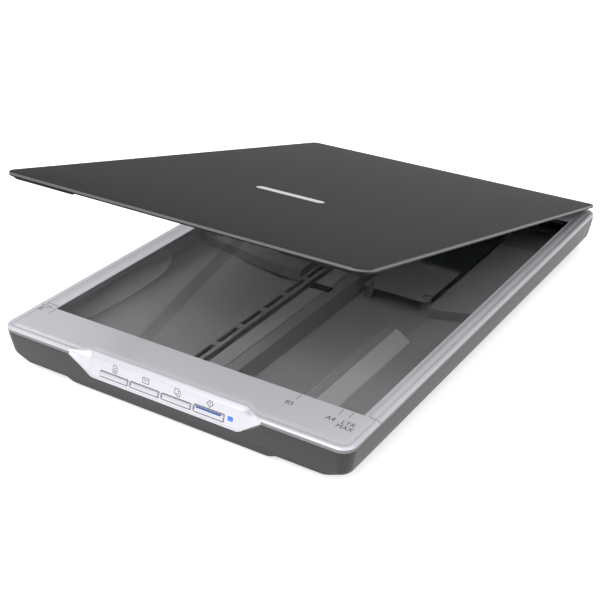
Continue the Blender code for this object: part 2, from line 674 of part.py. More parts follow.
def build_drive():
    bm = bmesh.new()
    rings = []
    for radius, z in (
        (BELT_RADIUS + BELT_THICKNESS / 2, BELT_Z[0]),
        (BELT_RADIUS + BELT_THICKNESS / 2, BELT_Z[1]),
        (BELT_RADIUS - BELT_THICKNESS / 2, BELT_Z[1]),
        (BELT_RADIUS - BELT_THICKNESS / 2, BELT_Z[0]),
    ):
        outline = arc_points((0, DRIVE_Y), radius, 0, math.pi, 14)
        outline += arc_points((0, IDLER_Y), radius, math.pi, math.tau, 14)
        rings.append(level(outline, z))
    loft(bm, rings, loop=True)
    part("drive_belt", bm, "rubber")

    floor = BELLY_Z + WALL + GAP
    plate_top = floor + 0.8
    pulley = BELT_RADIUS - BELT_THICKNESS / 2 - GAP
    flange = BELT_RADIUS + 0.9
    rim_low, rim_high = (GEAR_Z[1], GEAR_Z[1] + 0.4), (BELT_Z[1] + 0.25, BELT_Z[1] + 0.65)
    bore, pin, shoulder = 1.8, 1.4, 2.6

    axis = pivot("idler_axis", (0, IDLER_Y, BELT_Z[0]))
    bm = bmesh.new()
    profile = ((bore, rim_low[0]), (flange, rim_low[0]), (flange, rim_low[1]), (pulley, rim_low[1]),
               (pulley, rim_high[0]), (flange, rim_high[0]), (flange, rim_high[1]), (bore, rim_high[1]))
    turned(bm, (0, IDLER_Y), profile, 20, loop=True)
    part("idler_pulley", bm, "acetal", axis)

    bm = bmesh.new()
    seat = GEAR_Z[1] - GAP
    profile = (
        (10.0, floor), (10.0, plate_top), (shoulder, plate_top), (shoulder, seat), (pin, seat), (pin, 13.1),
    )
    turned(bm, (0, IDLER_Y), profile)
    bracket = part("idler_bracket", bm, "steel")
    bm = bmesh.new()
    box(bm, (-3.0, 3.0), (IDLER_Y - 11.6, IDLER_Y - 6.0), (floor, plate_top))
    combine(bracket, "UNION", "idler_tongue", bm)
    bm = bmesh.new()
    helix(bm, (0, -175.0, 7.9), (0, -168.4, 7.9), 1.6, 0.3, 6)
    part("tension_spring", bm, "steel")

    axis = pivot("drive_axis", (0, DRIVE_Y, GEAR_Z[0]))
    bm = bmesh.new()
    profile = ((bore, rim_low[0] - 0.5), (flange, rim_low[0] - 0.5), (flange, rim_low[1]), (pulley, rim_low[1]),
               (pulley, rim_high[0]), (flange, rim_high[0]), (flange, rim_high[1]), (bore, rim_high[1]))
    turned(bm, (0, DRIVE_Y), profile, 20, loop=True)
    gear = part("drive_gear", bm, "acetal", axis)
    bm = bmesh.new()
    bored_prism(bm, gear_outline((0, DRIVE_Y), GEAR_TEETH, 0.0), (0, DRIVE_Y), bore, *GEAR_Z)
    combine(gear, "UNION", "gear_wheel", bm, axis)

    motor = (-GEAR_CENTRES, DRIVE_Y)
    axis = pivot("pinion_axis", (*motor, GEAR_Z[0]))
    bm = bmesh.new()
    prism(bm, gear_outline(motor, PINION_TEETH, math.pi / PINION_TEETH), *GEAR_Z)
    part("motor_pinion", bm, "steel", axis)
    bm = bmesh.new()
    shell, case_low, case_top = 11.2, GEAR_Z[1] + GAP, RAIL_TOP
    bevelled = shell - 0.5
    profile = ((bevelled, case_low), (shell, case_low + 0.5), (shell, case_top - 0.5), (bevelled, case_top))
    turned(bm, motor, profile, 24)
    part("motor_case", bm, "steel")

    bm = bmesh.new()
    outline = [
        (-40, 152), (-30, 146), (-17, 143), (-14, 140), (-4, 140),
        (10, 146), (10, 168), (0, 174.5), (-22, 174.5), (-40, 168),
    ]
    prism(bm, outline, floor, plate_top)
    bracket = part("motor_bracket", bm, "steel")
    bm = bmesh.new()
    turned(bm, (0, DRIVE_Y), ((pin, floor + 0.4), (pin, rim_high[1] + GAP)))
    for y in (DRIVE_Y - 8.5, DRIVE_Y + 8.5):
        turned(bm, (motor[0], y), ((1.5, floor + 0.4), (1.5, GEAR_Z[1])), 12)
    combine(bracket, "UNION", "bracket_posts", bm)
    for name, centre in (("left", (-35.5, 160.0)), ("right", (-9.5, 143.2))):
        bm = bmesh.new()
        turned(bm, centre, ((2.4, plate_top + GAP), (2.4, plate_top + 1.3), (1.8, plate_top + 1.8)), 14)
        part("bracket_screw_" + name, bm, "steel")


# ---------------------------------------------------------------- sensor carriage


def build_carriage():
    axis = pivot("carriage_slide", (CARRIAGE_X, CARRIAGE_Y, TRAY_Z[0]))
    cx, cy = CARRIAGE_X, CARRIAGE_Y
    low, high = TRAY_Z
    half = TRAY_HALF_LENGTH

    bm = bmesh.new()
    wall, half_width = 1.6, 8.0

    def tray(inset, z):
        outline = rounded_outline(
            cx - half + inset, cx + half - inset, cy - half_width + inset, cy + half_width - inset, 1.0, 1.0
        )
        return level(outline, z)

    loft(bm, [tray(0, low), tray(0, high), tray(wall, high), tray(wall, low + 1.2)])
    part("carriage_tray", bm, "black_plastic", axis)

    bm = bmesh.new()
    ends = (cx - half + 2.1, cx + half - 2.1)
    top = 23.6
    section = [
        (-6.0, 20.1), (6.0, 20.1), (6.0, top), (1.9, top), (1.9, 22.4), (-1.9, 22.4), (-1.9, top), (-6.0, top),
    ]
    extrude_x(bm, [(cy + y, z) for y, z in section], *ends)
    part("sensor_housing", bm, "black_plastic", axis)

    bm = bmesh.new()
    box(bm, (cx - 110.0, cx + 110.0), (cy - 1.5, cy + 1.5), (22.7, 24.0))
    part("rod_lens_strip", bm, "glass", axis)

    for name, sign in (("left", -1), ("right", 1)):
        x = cx + sign * (half - 4.4)
        bm = bmesh.new()
        box(bm, (x - 1.9, x + 1.9), (cy - 4.5, cy + 4.5), (top + GAP, 24.9))
        part("glass_spacer_" + name, bm, "acetal", axis)
        x = cx + sign * 80.0
        bm = bmesh.new()
        helix(bm, (x, cy, low + 1.7), (x, cy, 19.6), 2.6, 0.18, 2)
        part("lift_spring_" + name, bm, "steel", axis)

    bm = bmesh.new()
    jaw_face = -BELT_RADIUS - BELT_THICKNESS / 2 - 0.6
    jaw_back, foot = jaw_face - 0.9, BELT_Z[0] + 0.3
    head, under = low - GAP - 0.1, RAIL_TOP + GAP
    section = [
        (jaw_back, foot), (jaw_face, foot), (jaw_face, under), (-4.6, under),
        (-4.6, head), (-12.0, head), (-12.0, under), (jaw_back, under),
    ]
    extrude_y(bm, section, cy - 12.0, cy - 4.0)
    part("belt_clamp", bm, "black_plastic", axis)


# ---------------------------------------------------------------- lid


def build_hinge_carrier():
    for name, sign in (("left", -1), ("right", 1)):
        x = sign * HINGE_X
        bm = bmesh.new()
        leg = [
            (173.2, 9.0), (176.8, 9.0), (176.8, 27.3), (180.5, 27.3), (180.5, 28.6), (175.2, 28.6), (173.2, 26.8),
        ]
        extrude_x(bm, leg, x - 3.0, x + 3.0)
        obj = part("hinge_leg_" + name, bm, "charcoal")
        bm = bmesh.new()
        cylinder_x(bm, HINGE_Y, HINGE_Z, 2.0, x - 3.0, x + 3.0)
        combine(obj, "UNION", "knuckle_" + name, bm)
        bm = bmesh.new()
        cylinder_x(bm, HINGE_Y, HINGE_Z, 1.1, x - 4.0, x + 4.0, 12)
        combine(obj, "DIFFERENCE", "knuckle_bore_" + name, bm)
        bm = bmesh.new()
        cylinder_x(bm, HINGE_Y, HINGE_Z, 0.75, x - 7.2, x + 7.2, 12)
        part("hinge_pin_" + name, bm, "steel")


def build_lid():
    axis = pivot("lid_hinge_axis", (0, HINGE_Y, HINGE_Z), (-LID_OPEN, 0.0, 0.0))
    half = LID_HALF_WIDTH
    y0, y1 = LID_Y
    wall, overhang = 1.6, 3.2

    def outline(inset, z):
        sides = (-half + inset, half - inset, y0 + inset, y1 - inset)
        return level(rounded_outline(*sides, 10.0 - inset, 5.0 - inset), z)

    under = LID_EDGE_TOP - LID_SKIN
    bm = bmesh.new()
    rings = [
        outline(overhang, LID_BOTTOM),
        outline(overhang, LID_RIM_BOTTOM),
        outline(0.2, LID_RIM_BOTTOM),
        outline(0, LID_RIM_BOTTOM + 0.3),
        outline(0, LID_EDGE_TOP - 0.8),
        outline(0.8, LID_EDGE_TOP),
        level(rounded_outline(-70, 70, -110, 110, 5, 5), LID_EDGE_TOP + LID_CROWN),
    ]
    rings = list(reversed(rings)) + [outline(overhang + wall, LID_BOTTOM), outline(overhang + wall, under)]
    loft(bm, rings)
    cover = part("lid_cover", bm, "gloss_black", axis)
    bm = bmesh.new()
    for sign in (-1, 1):
        x = sign * HINGE_X
        box(bm, (x - 8.2, x + 8.2), (175.0, 182.0), (26.0, HINGE_Z + 2.4))
    combine(cover, "DIFFERENCE", "hinge_reliefs", bm, axis)

    bm = bmesh.new()
    margin = overhang + wall + GAP
    outline_in = rounded_outline(-half + margin, half - margin, y0 + margin, 165.0, 4.9, 2.0)
    prism(bm, outline_in, 31.0, under - GAP)
    part("lid_inner_panel", bm, "charcoal", axis)

    pad_x = (GLASS_X[0] + 1.4, GLASS_X[1] - 1.4)
    pad_y = (GLASS_Y[0] + 1.6, GLASS_Y[1] - 1.6)
    bm = bmesh.new()
    prism(bm, rounded_outline(*pad_x, *pad_y, 3.0, 3.0), 29.1, 30.7)
    part("lid_foam_pad", bm, "foam", axis)
    bm = bmesh.new()
    prism(bm, rounded_outline(*pad_x, *pad_y, 3.0, 3.0), LIP_Z, 28.8)
    part("lid_white_sheet", bm, "white", axis)

    for name, sign in (("left", -1), ("right", 1)):
        x = sign * HINGE_X
        bm = bmesh.new()
        box(bm, (x - 6.6, x + 6.6), (167.0, 173.5), (30.5, under - GAP))
        bracket = part("hinge_bracket_" + name, bm, "charcoal", axis)
        bm = bmesh.new()
        for ear in (-1, 1):
            a, b = sorted((x + ear * 3.4, x + ear * 6.6))
            knuckle = arc_points((HINGE_Y, HINGE_Z), 1.9, -math.radians(175), math.radians(75), 12)
            arm = [(176.5, under - GAP), (172.0, under - GAP), (172.0, 30.5), (176.6, 29.62)]
            extrude_x(bm, knuckle + arm, a, b)
        combine(bracket, "UNION", "bracket_ears_" + name, bm, axis)
        bm = bmesh.new()
        cylinder_x(bm, HINGE_Y, HINGE_Z, 1.1, x - 8.0, x + 8.0, 12)
        combine(bracket, "DIFFERENCE", "bracket_bore_" + name, bm, axis)


def main():
    clear_scene()
    build_bottom_casing()
    build_top_frame()
    plane = build_front_bezel()
    build_glass()
    build_feet_and_screws()
    build_boards()
    build_ribbons()
    build_controls(plane)
    build_guide_rail()
    build_drive()
    build_carriage()
    build_hinge_carrier()
    build_lid()


main()
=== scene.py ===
"""The looks of a flatbed document scanner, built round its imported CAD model.

Shapes are laid out in millimetres, in the frame of the CAD model, and MM turns them into metres.
"""

import json
import math

import bmesh
import bpy
from mathutils import Matrix, Vector

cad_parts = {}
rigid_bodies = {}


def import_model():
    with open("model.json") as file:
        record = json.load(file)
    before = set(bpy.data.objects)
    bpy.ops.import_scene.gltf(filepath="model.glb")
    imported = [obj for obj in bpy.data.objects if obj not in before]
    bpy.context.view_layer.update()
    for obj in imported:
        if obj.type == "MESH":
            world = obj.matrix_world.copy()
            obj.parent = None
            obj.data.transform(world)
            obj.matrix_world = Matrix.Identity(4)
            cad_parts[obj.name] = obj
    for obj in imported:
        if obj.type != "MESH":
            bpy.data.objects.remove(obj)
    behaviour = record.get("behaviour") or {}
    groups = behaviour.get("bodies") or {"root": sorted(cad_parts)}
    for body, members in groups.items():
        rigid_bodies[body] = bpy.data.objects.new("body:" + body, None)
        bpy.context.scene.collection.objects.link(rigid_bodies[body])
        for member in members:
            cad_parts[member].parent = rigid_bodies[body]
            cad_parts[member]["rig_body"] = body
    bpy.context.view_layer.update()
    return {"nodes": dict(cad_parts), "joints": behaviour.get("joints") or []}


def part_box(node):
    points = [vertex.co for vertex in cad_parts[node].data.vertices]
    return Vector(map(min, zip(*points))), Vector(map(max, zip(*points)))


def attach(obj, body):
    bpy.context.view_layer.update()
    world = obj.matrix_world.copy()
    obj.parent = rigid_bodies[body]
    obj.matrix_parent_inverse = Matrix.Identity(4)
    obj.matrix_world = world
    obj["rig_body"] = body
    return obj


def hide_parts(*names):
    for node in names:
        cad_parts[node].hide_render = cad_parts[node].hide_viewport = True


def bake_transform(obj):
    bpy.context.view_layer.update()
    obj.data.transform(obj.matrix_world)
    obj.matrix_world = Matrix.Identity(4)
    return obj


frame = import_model()

MM = 0.001


def corners(node):
    """A CAD node's box in millimetres, as lowest and highest corner."""
    low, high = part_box(node)
    return low / MM, high / MM


# Levels and outlines that many pieces share, read from the CAD nodes.
HALF_W, HALF_D, RIM_Z = corners("bottom_casing")[1]
DECK_Z = corners("top_frame")[1].z
GLASS_LOW, GLASS_HIGH = corners("document_glass")
CORNER = 8.5
GLASS_LAP, GLASS_REAR_LAP = 3.0, 14.0
OPEN_X = (GLASS_LOW.x + GLASS_LAP, GLASS_HIGH.x - GLASS_LAP)
OPEN_Y = (GLASS_LOW.y + GLASS_LAP, GLASS_HIGH.y - GLASS_REAR_LAP)
LIP_Z = GLASS_HIGH.z + 0.3
JOINTS = {joint["name"]: joint for joint in frame["joints"]}
HINGE = Vector(JOINTS["lid_hinge"]["pos_m"]) / MM
LID_OPEN = -math.radians(JOINTS["lid_hinge"]["range_deg"][0])
HINGE_X = 85.0
BUTTONS = ("pdf_button", "send_button", "copy_button", "start_button")


# ---------------------------------------------------------------- materials


def node_material(name):
    """A new material with its nodes, its links and its shader."""
    material = bpy.data.materials.new(name)
    material.use_nodes = True
    tree = material.node_tree
    return material, tree.nodes, tree.links, tree.nodes["Principled BSDF"]


def noise(nodes, links, coords, scale, detail):
    """A noise texture read at the given coordinates."""
    texture = nodes.new("ShaderNodeTexNoise")
    texture.inputs["Scale"].default_value = scale
    texture.inputs["Detail"].default_value = detail
    links.new(coords, texture.inputs["Vector"])
    return texture.outputs["Fac"]


def span(nodes, links, value, low, high):
    """Maps a noise value onto low to high."""
    mapped = nodes.new("ShaderNodeMapRange")
    mapped.inputs["From Min"].default_value = 0.3
    mapped.inputs["From Max"].default_value = 0.7
    mapped.inputs["To Min"].default_value = low
    mapped.inputs["To Max"].default_value = high
    links.new(value, mapped.inputs["Value"])
    return mapped.outputs["Result"]


def moulded(
    name, colour, roughness, grain=3000.0, depth=0.00002, shift=0.12, metallic=0.0, coat=0.0, spec=0.5
):
    """Painted or moulded plastic: fine grain in its height and gloss, and slow changes of tone.

    grain is the scale of the fine noise, depth its height in metres, and shift the change of tone.
    """
    material, nodes, links, shader = node_material(name)
    coords = nodes.new("ShaderNodeTexCoord").outputs["Object"]
    slow = noise(nodes, links, coords, 14.0, 3.0)
    fine = noise(nodes, links, coords, grain, 2.0)
    tone = nodes.new("ShaderNodeMix")
    tone.data_type = "RGBA"
    tone.inputs["A"].default_value = (*[c * (1 - shift) for c in colour], 1.0)
    tone.inputs["B"].default_value = (*[min(1.0, c * (1 + shift)) for c in colour], 1.0)
    links.new(span(nodes, links, slow, 0.3, 0.7), tone.inputs["Factor"])
    links.new(tone.outputs["Result"], shader.inputs["Base Color"])
    links.new(span(nodes, links, fine, roughness * 0.88, roughness * 1.12), shader.inputs["Roughness"])
    bump = nodes.new("ShaderNodeBump")
    bump.inputs["Distance"].default_value = depth
    bump.inputs["Strength"].default_value = 0.6
    links.new(fine, bump.inputs["Height"])
    links.new(bump.outputs["Normal"], shader.inputs["Normal"])
    shader.inputs["Metallic"].default_value = metallic
    shader.inputs["Coat Weight"].default_value = coat
    shader.inputs["Coat Roughness"].default_value = 0.12
    shader.inputs["Specular IOR Level"].default_value = spec
    return material


def brushed(name, colour, roughness, stretch):
    """Metal with fine lines along one axis."""
    material, nodes, links, shader = node_material(name)
    coords = nodes.new("ShaderNodeTexCoord").outputs["Object"]
    mapping = nodes.new("ShaderNodeMapping")
    mapping.inputs["Scale"].default_value = stretch
    links.new(coords, mapping.inputs["Vector"])
    lines = noise(nodes, links, mapping.outputs["Vector"], 900.0, 3.0)
    links.new(span(nodes, links, lines, roughness * 0.7, roughness * 1.3), shader.inputs["Roughness"])
    tone = nodes.new("ShaderNodeMix")
    tone.data_type = "RGBA"
    tone.inputs["A"].default_value = (*[c * 0.85 for c in colour], 1.0)
    tone.inputs["B"].default_value = (*colour, 1.0)
    links.new(lines, tone.inputs["Factor"])
    links.new(tone.outputs["Result"], shader.inputs["Base Color"])
    shader.inputs["Metallic"].default_value = 1.0
    return material


def clear_glass(name, tint, gloss, ior=1.33):
    """A see-through pane: it lets light straight through and mirrors a little, more at a low angle."""
    material, nodes, links, shader = node_material(name)
    nodes.remove(shader)
    through = nodes.new("ShaderNodeBsdfTransparent")
    through.inputs["Color"].default_value = (*tint, 1.0)
    mirror = nodes.new("ShaderNodeBsdfGlossy")
    mirror.inputs["Roughness"].default_value = gloss
    fresnel = nodes.new("ShaderNodeFresnel")
    fresnel.inputs["IOR"].default_value = ior
    mix = nodes.new("ShaderNodeMixShader")
    links.new(fresnel.outputs["Fac"], mix.inputs["Fac"])
    links.new(through.outputs["BSDF"], mix.inputs[1])
    links.new(mirror.outputs["BSDF"], mix.inputs[2])
    links.new(mix.outputs["Shader"], nodes["Material Output"].inputs["Surface"])
    return material


def ribbon_material(name):
    """Flat cable: pale film with fine conductors along its length."""
    material, nodes, links, shader = node_material(name)
    coords = nodes.new("ShaderNodeTexCoord").outputs["Object"]
    wave = nodes.new("ShaderNodeTexWave")
    wave.bands_direction = "X"
    wave.inputs["Scale"].default_value = 320.0
    links.new(coords, wave.inputs["Vector"])
    tone = nodes.new("ShaderNodeMix")
    tone.data_type = "RGBA"
    tone.inputs["A"].default_value = (0.34, 0.34, 0.345, 1.0)
    tone.inputs["B"].default_value = (0.5, 0.5, 0.505, 1.0)
    links.new(wave.outputs["Fac"], tone.inputs["Factor"])
    links.new(tone.outputs["Result"], shader.inputs["Base Color"])
    shader.inputs["Roughness"].default_value = 0.4
    return material


def glow(name, colour, strength):
    material, nodes, links, shader = node_material(name)
    coords = nodes.new("ShaderNodeTexCoord").outputs["Object"]
    fine = noise(nodes, links, coords, 900.0, 2.0)
    links.new(span(nodes, links, fine, 0.15, 0.3), shader.inputs["Roughness"])
    shader.inputs["Base Color"].default_value = (*colour, 1.0)
    shader.inputs["Emission Color"].default_value = (*colour, 1.0)
    shader.inputs["Emission Strength"].default_value = strength
    return material


CHARCOAL = moulded("charcoal", (0.0105, 0.0105, 0.0108), 0.36, depth=0.00003, spec=0.4)
# Painted light: the tub's inside is a far lighter copy of its dark plastic, standing in for light that
# reaches in under the lid.
INSIDE_PAINTED_LIGHT = moulded("casing_inside_painted_light", (0.35, 0.35, 0.352), 0.6, grain=2200.0, depth=0.00003, spec=0.25)
# Painted light: the guide rail and the board shield are much lighter than their dark plastic, standing in for
# light under the glass.
INNER_PAINTED_LIGHT = moulded("inner_charcoal_painted_light", (0.30, 0.30, 0.303), 0.5, grain=1800.0, spec=0.3)
# Painted light: the slopes of the scoops and the hump are lighter still, standing in for the light that falls
# on them.
SLOPE_PAINTED_LIGHT = moulded("casing_slopes_painted_light", (0.66, 0.66, 0.662), 0.5, grain=2200.0, depth=0.00002, spec=0.3)
SILVER = moulded(
    "silver_paint", (0.52, 0.515, 0.555), 0.32,
    grain=6000.0, depth=0.000006, shift=0.02, metallic=0.3, coat=0.3,
)
# Painted shade: a dark copy of the silver paint, standing in for the shade on the upright strip below the
# deck's rounded edge.
SILVER_PAINTED_SHADE = moulded(
    "silver_painted_shade", (0.15, 0.15, 0.157), 0.4, grain=6000.0, depth=0.000006, shift=0.03, metallic=0.1
)
BRIGHT = moulded(
    "button_paint", (0.46, 0.455, 0.49), 0.28,
    grain=6000.0, depth=0.000005, shift=0.03, metallic=0.1, coat=0.3,
)
LID_BLACK = moulded(
    "lid_black", (0.006, 0.006, 0.0062), 0.46, grain=4200.0, depth=0.00001, shift=0.1, spec=0.1
)
# Painted highlight: the upper part of the lid's edge is a lighter grey, standing in for the light caught
# along it.
LID_RIM_HIGHLIGHT = moulded("lid_rim_painted_highlight", (0.09, 0.09, 0.092), 0.35, grain=4200.0, depth=0.00001, shift=0.05, spec=0.4)
BLACK = moulded("black_plastic", (0.012, 0.012, 0.013), 0.45)
RUBBER = moulded("rubber", (0.018, 0.018, 0.018), 0.8, grain=1500.0, depth=0.00006)
WHITE = moulded("white_sheet", (0.82, 0.82, 0.81), 0.55, grain=2500.0, shift=0.02)
FOAM = moulded("foam", (0.045, 0.045, 0.048), 0.95, grain=900.0, depth=0.0003, shift=0.25)
GREEN = moulded("board_green", (0.008, 0.028, 0.014), 0.4, grain=1200.0, shift=0.3)
ACETAL = moulded("acetal", (0.74, 0.73, 0.68), 0.38, shift=0.04)
BLUE = moulded("blue_paint", (0.02, 0.075, 0.26), 0.25, grain=6000.0, depth=0.000005, shift=0.05, coat=0.4)
INK = moulded("print_ink", (0.035, 0.035, 0.04), 0.5)
STEEL = brushed("steel", (0.6, 0.6, 0.62), 0.3, (1.0, 1.0, 12.0))
PANE_TINT, PANE_GLOSS = (0.975, 0.975, 0.977), 0.03
GLASS = clear_glass("document_glass_clear", PANE_TINT, PANE_GLOSS)
# The pane's lower face hardly bends light, so that it doesn't mirror from inside at a low angle.
GLASS_BACK = clear_glass("document_glass_back", PANE_TINT, PANE_GLOSS, ior=1.001)
LENS = clear_glass("rod_lens_clear", (0.7, 0.72, 0.72), 0.1)
RIBBON = ribbon_material("ribbon_film")
LED = glow("led_blue", (0.03, 0.1, 1.0), 0.75)


# ---------------------------------------------------------------- mesh helpers


def arc(cx, cy, radius, start, end, steps):
    angles = [start + (end - start) * i / steps for i in range(steps + 1)]
    return [(cx + radius * math.cos(a), cy + radius * math.sin(a)) for a in angles]


def rounded(x0, x1, y0, y1, front, rear=None, steps=12):
    """A rectangle's outline with rounded corners, anticlockwise from its lower right corner."""
    rear = front if rear is None else rear
    q = math.pi / 2
    points = arc(x1 - front, y0 + front, front, -q, 0, steps)
    points += arc(x1 - rear, y1 - rear, rear, 0, q, steps)
    points += arc(x0 + rear, y1 - rear, rear, q, 2 * q, steps)
    return points + arc(x0 + front, y0 + front, front, 2 * q, 3 * q, steps)


def level(outline, z):
    """A flat outline at height z."""
    return [(x, y, z) for x, y in outline]


def loft(bm, rings, loop=False):
    """Skins rings of equally many points. It caps the ends, or joins the last ring to the first."""
    layers = [[bm.verts.new(point) for point in ring] for ring in rings]
    pairs = list(zip(layers, layers[1:]))
    if loop:
        pairs.append((layers[-1], layers[0]))
    for lower, upper in pairs:
        for i in range(len(lower)):
            j = (i + 1) % len(lower)
            bm.faces.new((lower[i], lower[j], upper[j], upper[i]))
    if not loop:
        bm.faces.new(list(reversed(layers[0])))
        bm.faces.new(layers[-1])


def box(bm, x, y, z):
    outline = [(x[0], y[0]), (x[1], y[0]), (x[1], y[1]), (x[0], y[1])]
    loft(bm, [level(outline, z[0]), level(outline, z[1])])


def turned(bm, centre, profile, steps=32):
    """A turned solid about an upright axis, from its profile of radius and height."""
    rings = [level(arc(*centre, r, 0, math.tau * (1 - 1 / steps), steps - 1), z) for r, z in profile]
    loft(bm, rings)


def soften(bm, width, segments=2, angle=25.0):
    """Rounds the edges of a bmesh that turn by more than the angle."""
    bm.normal_update()
    sharp = [e for e in bm.edges if len(e.link_faces) == 2 and e.calc_face_angle() > math.radians(angle)]
    bmesh.ops.bevel(
        bm, geom=sharp, offset=width, offset_type="OFFSET", segments=segments, profile=0.5,
        affect="EDGES", clamp_overlap=True,
    )


def new_object(name, bm, place=None):
    """An object in metres from a bmesh in millimetres. place is a matrix in millimetres."""
    if place is not None:
        bmesh.ops.transform(bm, matrix=place, verts=bm.verts)
    bmesh.ops.recalc_face_normals(bm, faces=bm.faces)
    bmesh.ops.scale(bm, vec=(MM, MM, MM), verts=bm.verts)
    mesh = bpy.data.meshes.new(name)
    bm.to_mesh(mesh)
    bm.free()
    obj = bpy.data.objects.new(name, mesh)
    bpy.context.scene.collection.objects.link(obj)
    return obj


def combine(obj, operation, bm, place=None):
    """Adds or cuts away a shape for good, leaving no helper behind."""
    tool = new_object(obj.name + "_tool", bm, place)
    modifier = obj.modifiers.new("combine", "BOOLEAN")
    modifier.operation = operation
    modifier.solver = "EXACT"
    modifier.object = tool
    graph = bpy.context.evaluated_depsgraph_get()
    result = bpy.data.meshes.new_from_object(obj.evaluated_get(graph))
    obj.modifiers.clear()
    obj.data = result
    bpy.data.objects.remove(tool)


def weigh_normals(obj):
    """Lets large flat faces keep their shading beside narrow rounded ones."""
    modifier = obj.modifiers.new("weigh", "WEIGHTED_NORMAL")
    modifier.keep_sharp = True
    modifier.weight = 80
    graph = bpy.context.evaluated_depsgraph_get()
    result = bpy.data.meshes.new_from_object(obj.evaluated_get(graph))
    obj.modifiers.clear()
    obj.data = result


def piece(obj, material, body, replaces=(), angle=30.0):
    """Finishes a piece: its material, smooth shading and its body."""
    obj.data.materials.clear()
    obj.data.materials.append(material)
    obj.data.shade_smooth()
    obj.data.set_sharp_from_angle(angle=math.radians(angle))
    weigh_normals(obj)
    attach(obj, body)
    if replaces:
        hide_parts(*replaces)
    return obj


def tint(obj, material, test):
    """Gives the faces that pass a test of centre and normal, in millimetres, another material."""
    obj.data.materials.append(material)
    index = len(obj.data.materials) - 1
    for face in obj.data.polygons:
        if test(face.center / MM, face.normal):
            face.material_index = index


def refined(node, material, width=0.25, segments=2, angle=30.0, sharp=28.0):
    """A copy of a CAD node with joined faces, rounded edges and smooth shading, in its place."""
    source = frame["nodes"][node]
    bm = bmesh.new()
    bm.from_mesh(source.data)
    bmesh.ops.scale(bm, vec=(1 / MM,) * 3, verts=bm.verts)
    bmesh.ops.remove_doubles(bm, verts=bm.verts, dist=0.002)
    bmesh.ops.dissolve_limit(bm, angle_limit=math.radians(0.5), verts=bm.verts, edges=bm.edges)
    if width:
        soften(bm, width, segments, sharp)
    return piece(new_object(node + "_fine", bm), material, source["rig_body"], (node,), angle)


# ---------------------------------------------------------------- casing


# Where the raised floors and the finger scoops meet the casing's inner wall.
INNER_WALL_X = 121.6

# A raised floor: height, reach towards the wall, and how far its front edge has leant back.
FLOOR_LEVELS = (
    (6.6, 112.5, 0.0), (9.9, 119.5, 0.4), (13.9, INNER_WALL_X, 0.9), (14.4, INNER_WALL_X, 1.2),
    (14.5, INNER_WALL_X, 1.7),
)
FLOOR_FRONT, FLOOR_REAR = (1.5, 13.0), 118.0
FLOOR_INNER_X = {-1: 24.0, 1: 76.5}

# The finger scoops: their ends, their toe and how far it bows inward, their head and how far it rises.
SCOOP_Y = (-142.0, -16.0)
SCOOP_TOE_X, SCOOP_REACH = 113.2, 5.5
SCOOP_HEAD_Z, SCOOP_RISE = 11.6, 5.4

# The hump on the right, as a section across it, and its ends.
HUMP = (
    (58, 4.4), (83, 6.6), (82.4, 8.4), (81.6, 9.3), (72.6, 15.1), (71.6, 15.45), (70.8, 15.5), (67.2, 15.5),
    (66.4, 15.3), (65.8, 14.8), (58, 6.0),
)
HUMP_Y = (-132.0, -34.0)

# The screw bosses and shield posts, with their profiles of radius and height.
CASING_BOSSES = ((-105.0, -156.2), (105.0, -156.2), (-108.0, 171.0), (108.0, 171.0))
BOSS_PROFILE = ((4.2, 6.8), (4.0, 22.8), (3.6, 23.2))
SCREW_HOLE = ((3.1, 4.0), (3.1, 9.0), (1.7, 9.0), (1.7, 23.4))
SHIELD_POSTS = ((26.5, 12.5), (68.5, 15.5))
POST_PROFILE = ((3.6, 4.1), (3.3, 12.7))
USB_LOW, USB_HIGH = corners("usb_socket")

# The tub as rings of half width, half depth, corner radius and height, up its outside and down its inside.
TUB_OUTSIDE = (
    (72.5, 178.3, 3.0, 3.0), (74.0, 178.5, 3.2, 3.3), (79.0, 178.8, 4.0, 5.4), (80.6, 178.8, 4.0, 5.7),
    (111.2, 179.0, 5.0, 5.7), (113.0, 179.05, 5.2, 6.2), (120.9, 179.5, 6.6, 9.3), (122.0, 179.8, 7.0, 10.4),
    (122.6, 180.2, 7.4, 12.6), (123.6, 181.1, 8.0, 18.0), (124.25, 181.75, 8.4, 22.6),
    (124.5, 182.0, 8.5, RIM_Z - 0.3), (124.4, 181.9, 8.4, RIM_Z),
)
TUB_INSIDE = (
    (122.4, 179.9, 6.4, RIM_Z), (122.3, 179.8, 6.3, RIM_Z - 0.2), (121.4, 179.0, 6.0, 18.0),
    (119.6, 177.4, 5.0, 10.8), (110.8, 176.8, 4.0, 7.9), (79.0, 176.6, 3.0, 7.9), (71.2, 176.4, 2.5, 5.2),
)

# The recesses in the underside below the raised floors.
RECESSES_X = ((-113.0, -27.0), (80.0, 113.0))
RECESS_Y, RECESS_TOP = (17.0, 115.0), 12.3

# The notch in the front wall that the control panel fills: half its width and its height at the top, how far
# its slanted ends run and drop, and the shares of the way down at which they have a point.
NOTCH_HALF, NOTCH_TOP = 69.5, 25.05
NOTCH_RUN, NOTCH_DROP = 15.5, 11.1
NOTCH_SHARES = (1.15, 1.1, 1.06, 1.02, 0.98, 0.94, 0.9, 0.5, 0.0)


def sized_ring(half_x, half_y, radius, z):
    """A rounded rectangle about the middle, at height z."""
    return level(rounded(-half_x, half_x, -half_y, half_y, radius), z)


def s_edge(sign, inner_x, lean, steps=24):
    """The S-shaped front edge of a raised floor, from its inner side out to the wall."""
    near, far = FLOOR_FRONT
    points = []
    for i in range(steps + 1):
        share = i / steps
        ease = share * share * (3 - 2 * share)
        x = inner_x + (INNER_WALL_X - inner_x) * share
        points.append((sign * x, near + lean + (far - near) * ease))
    return points


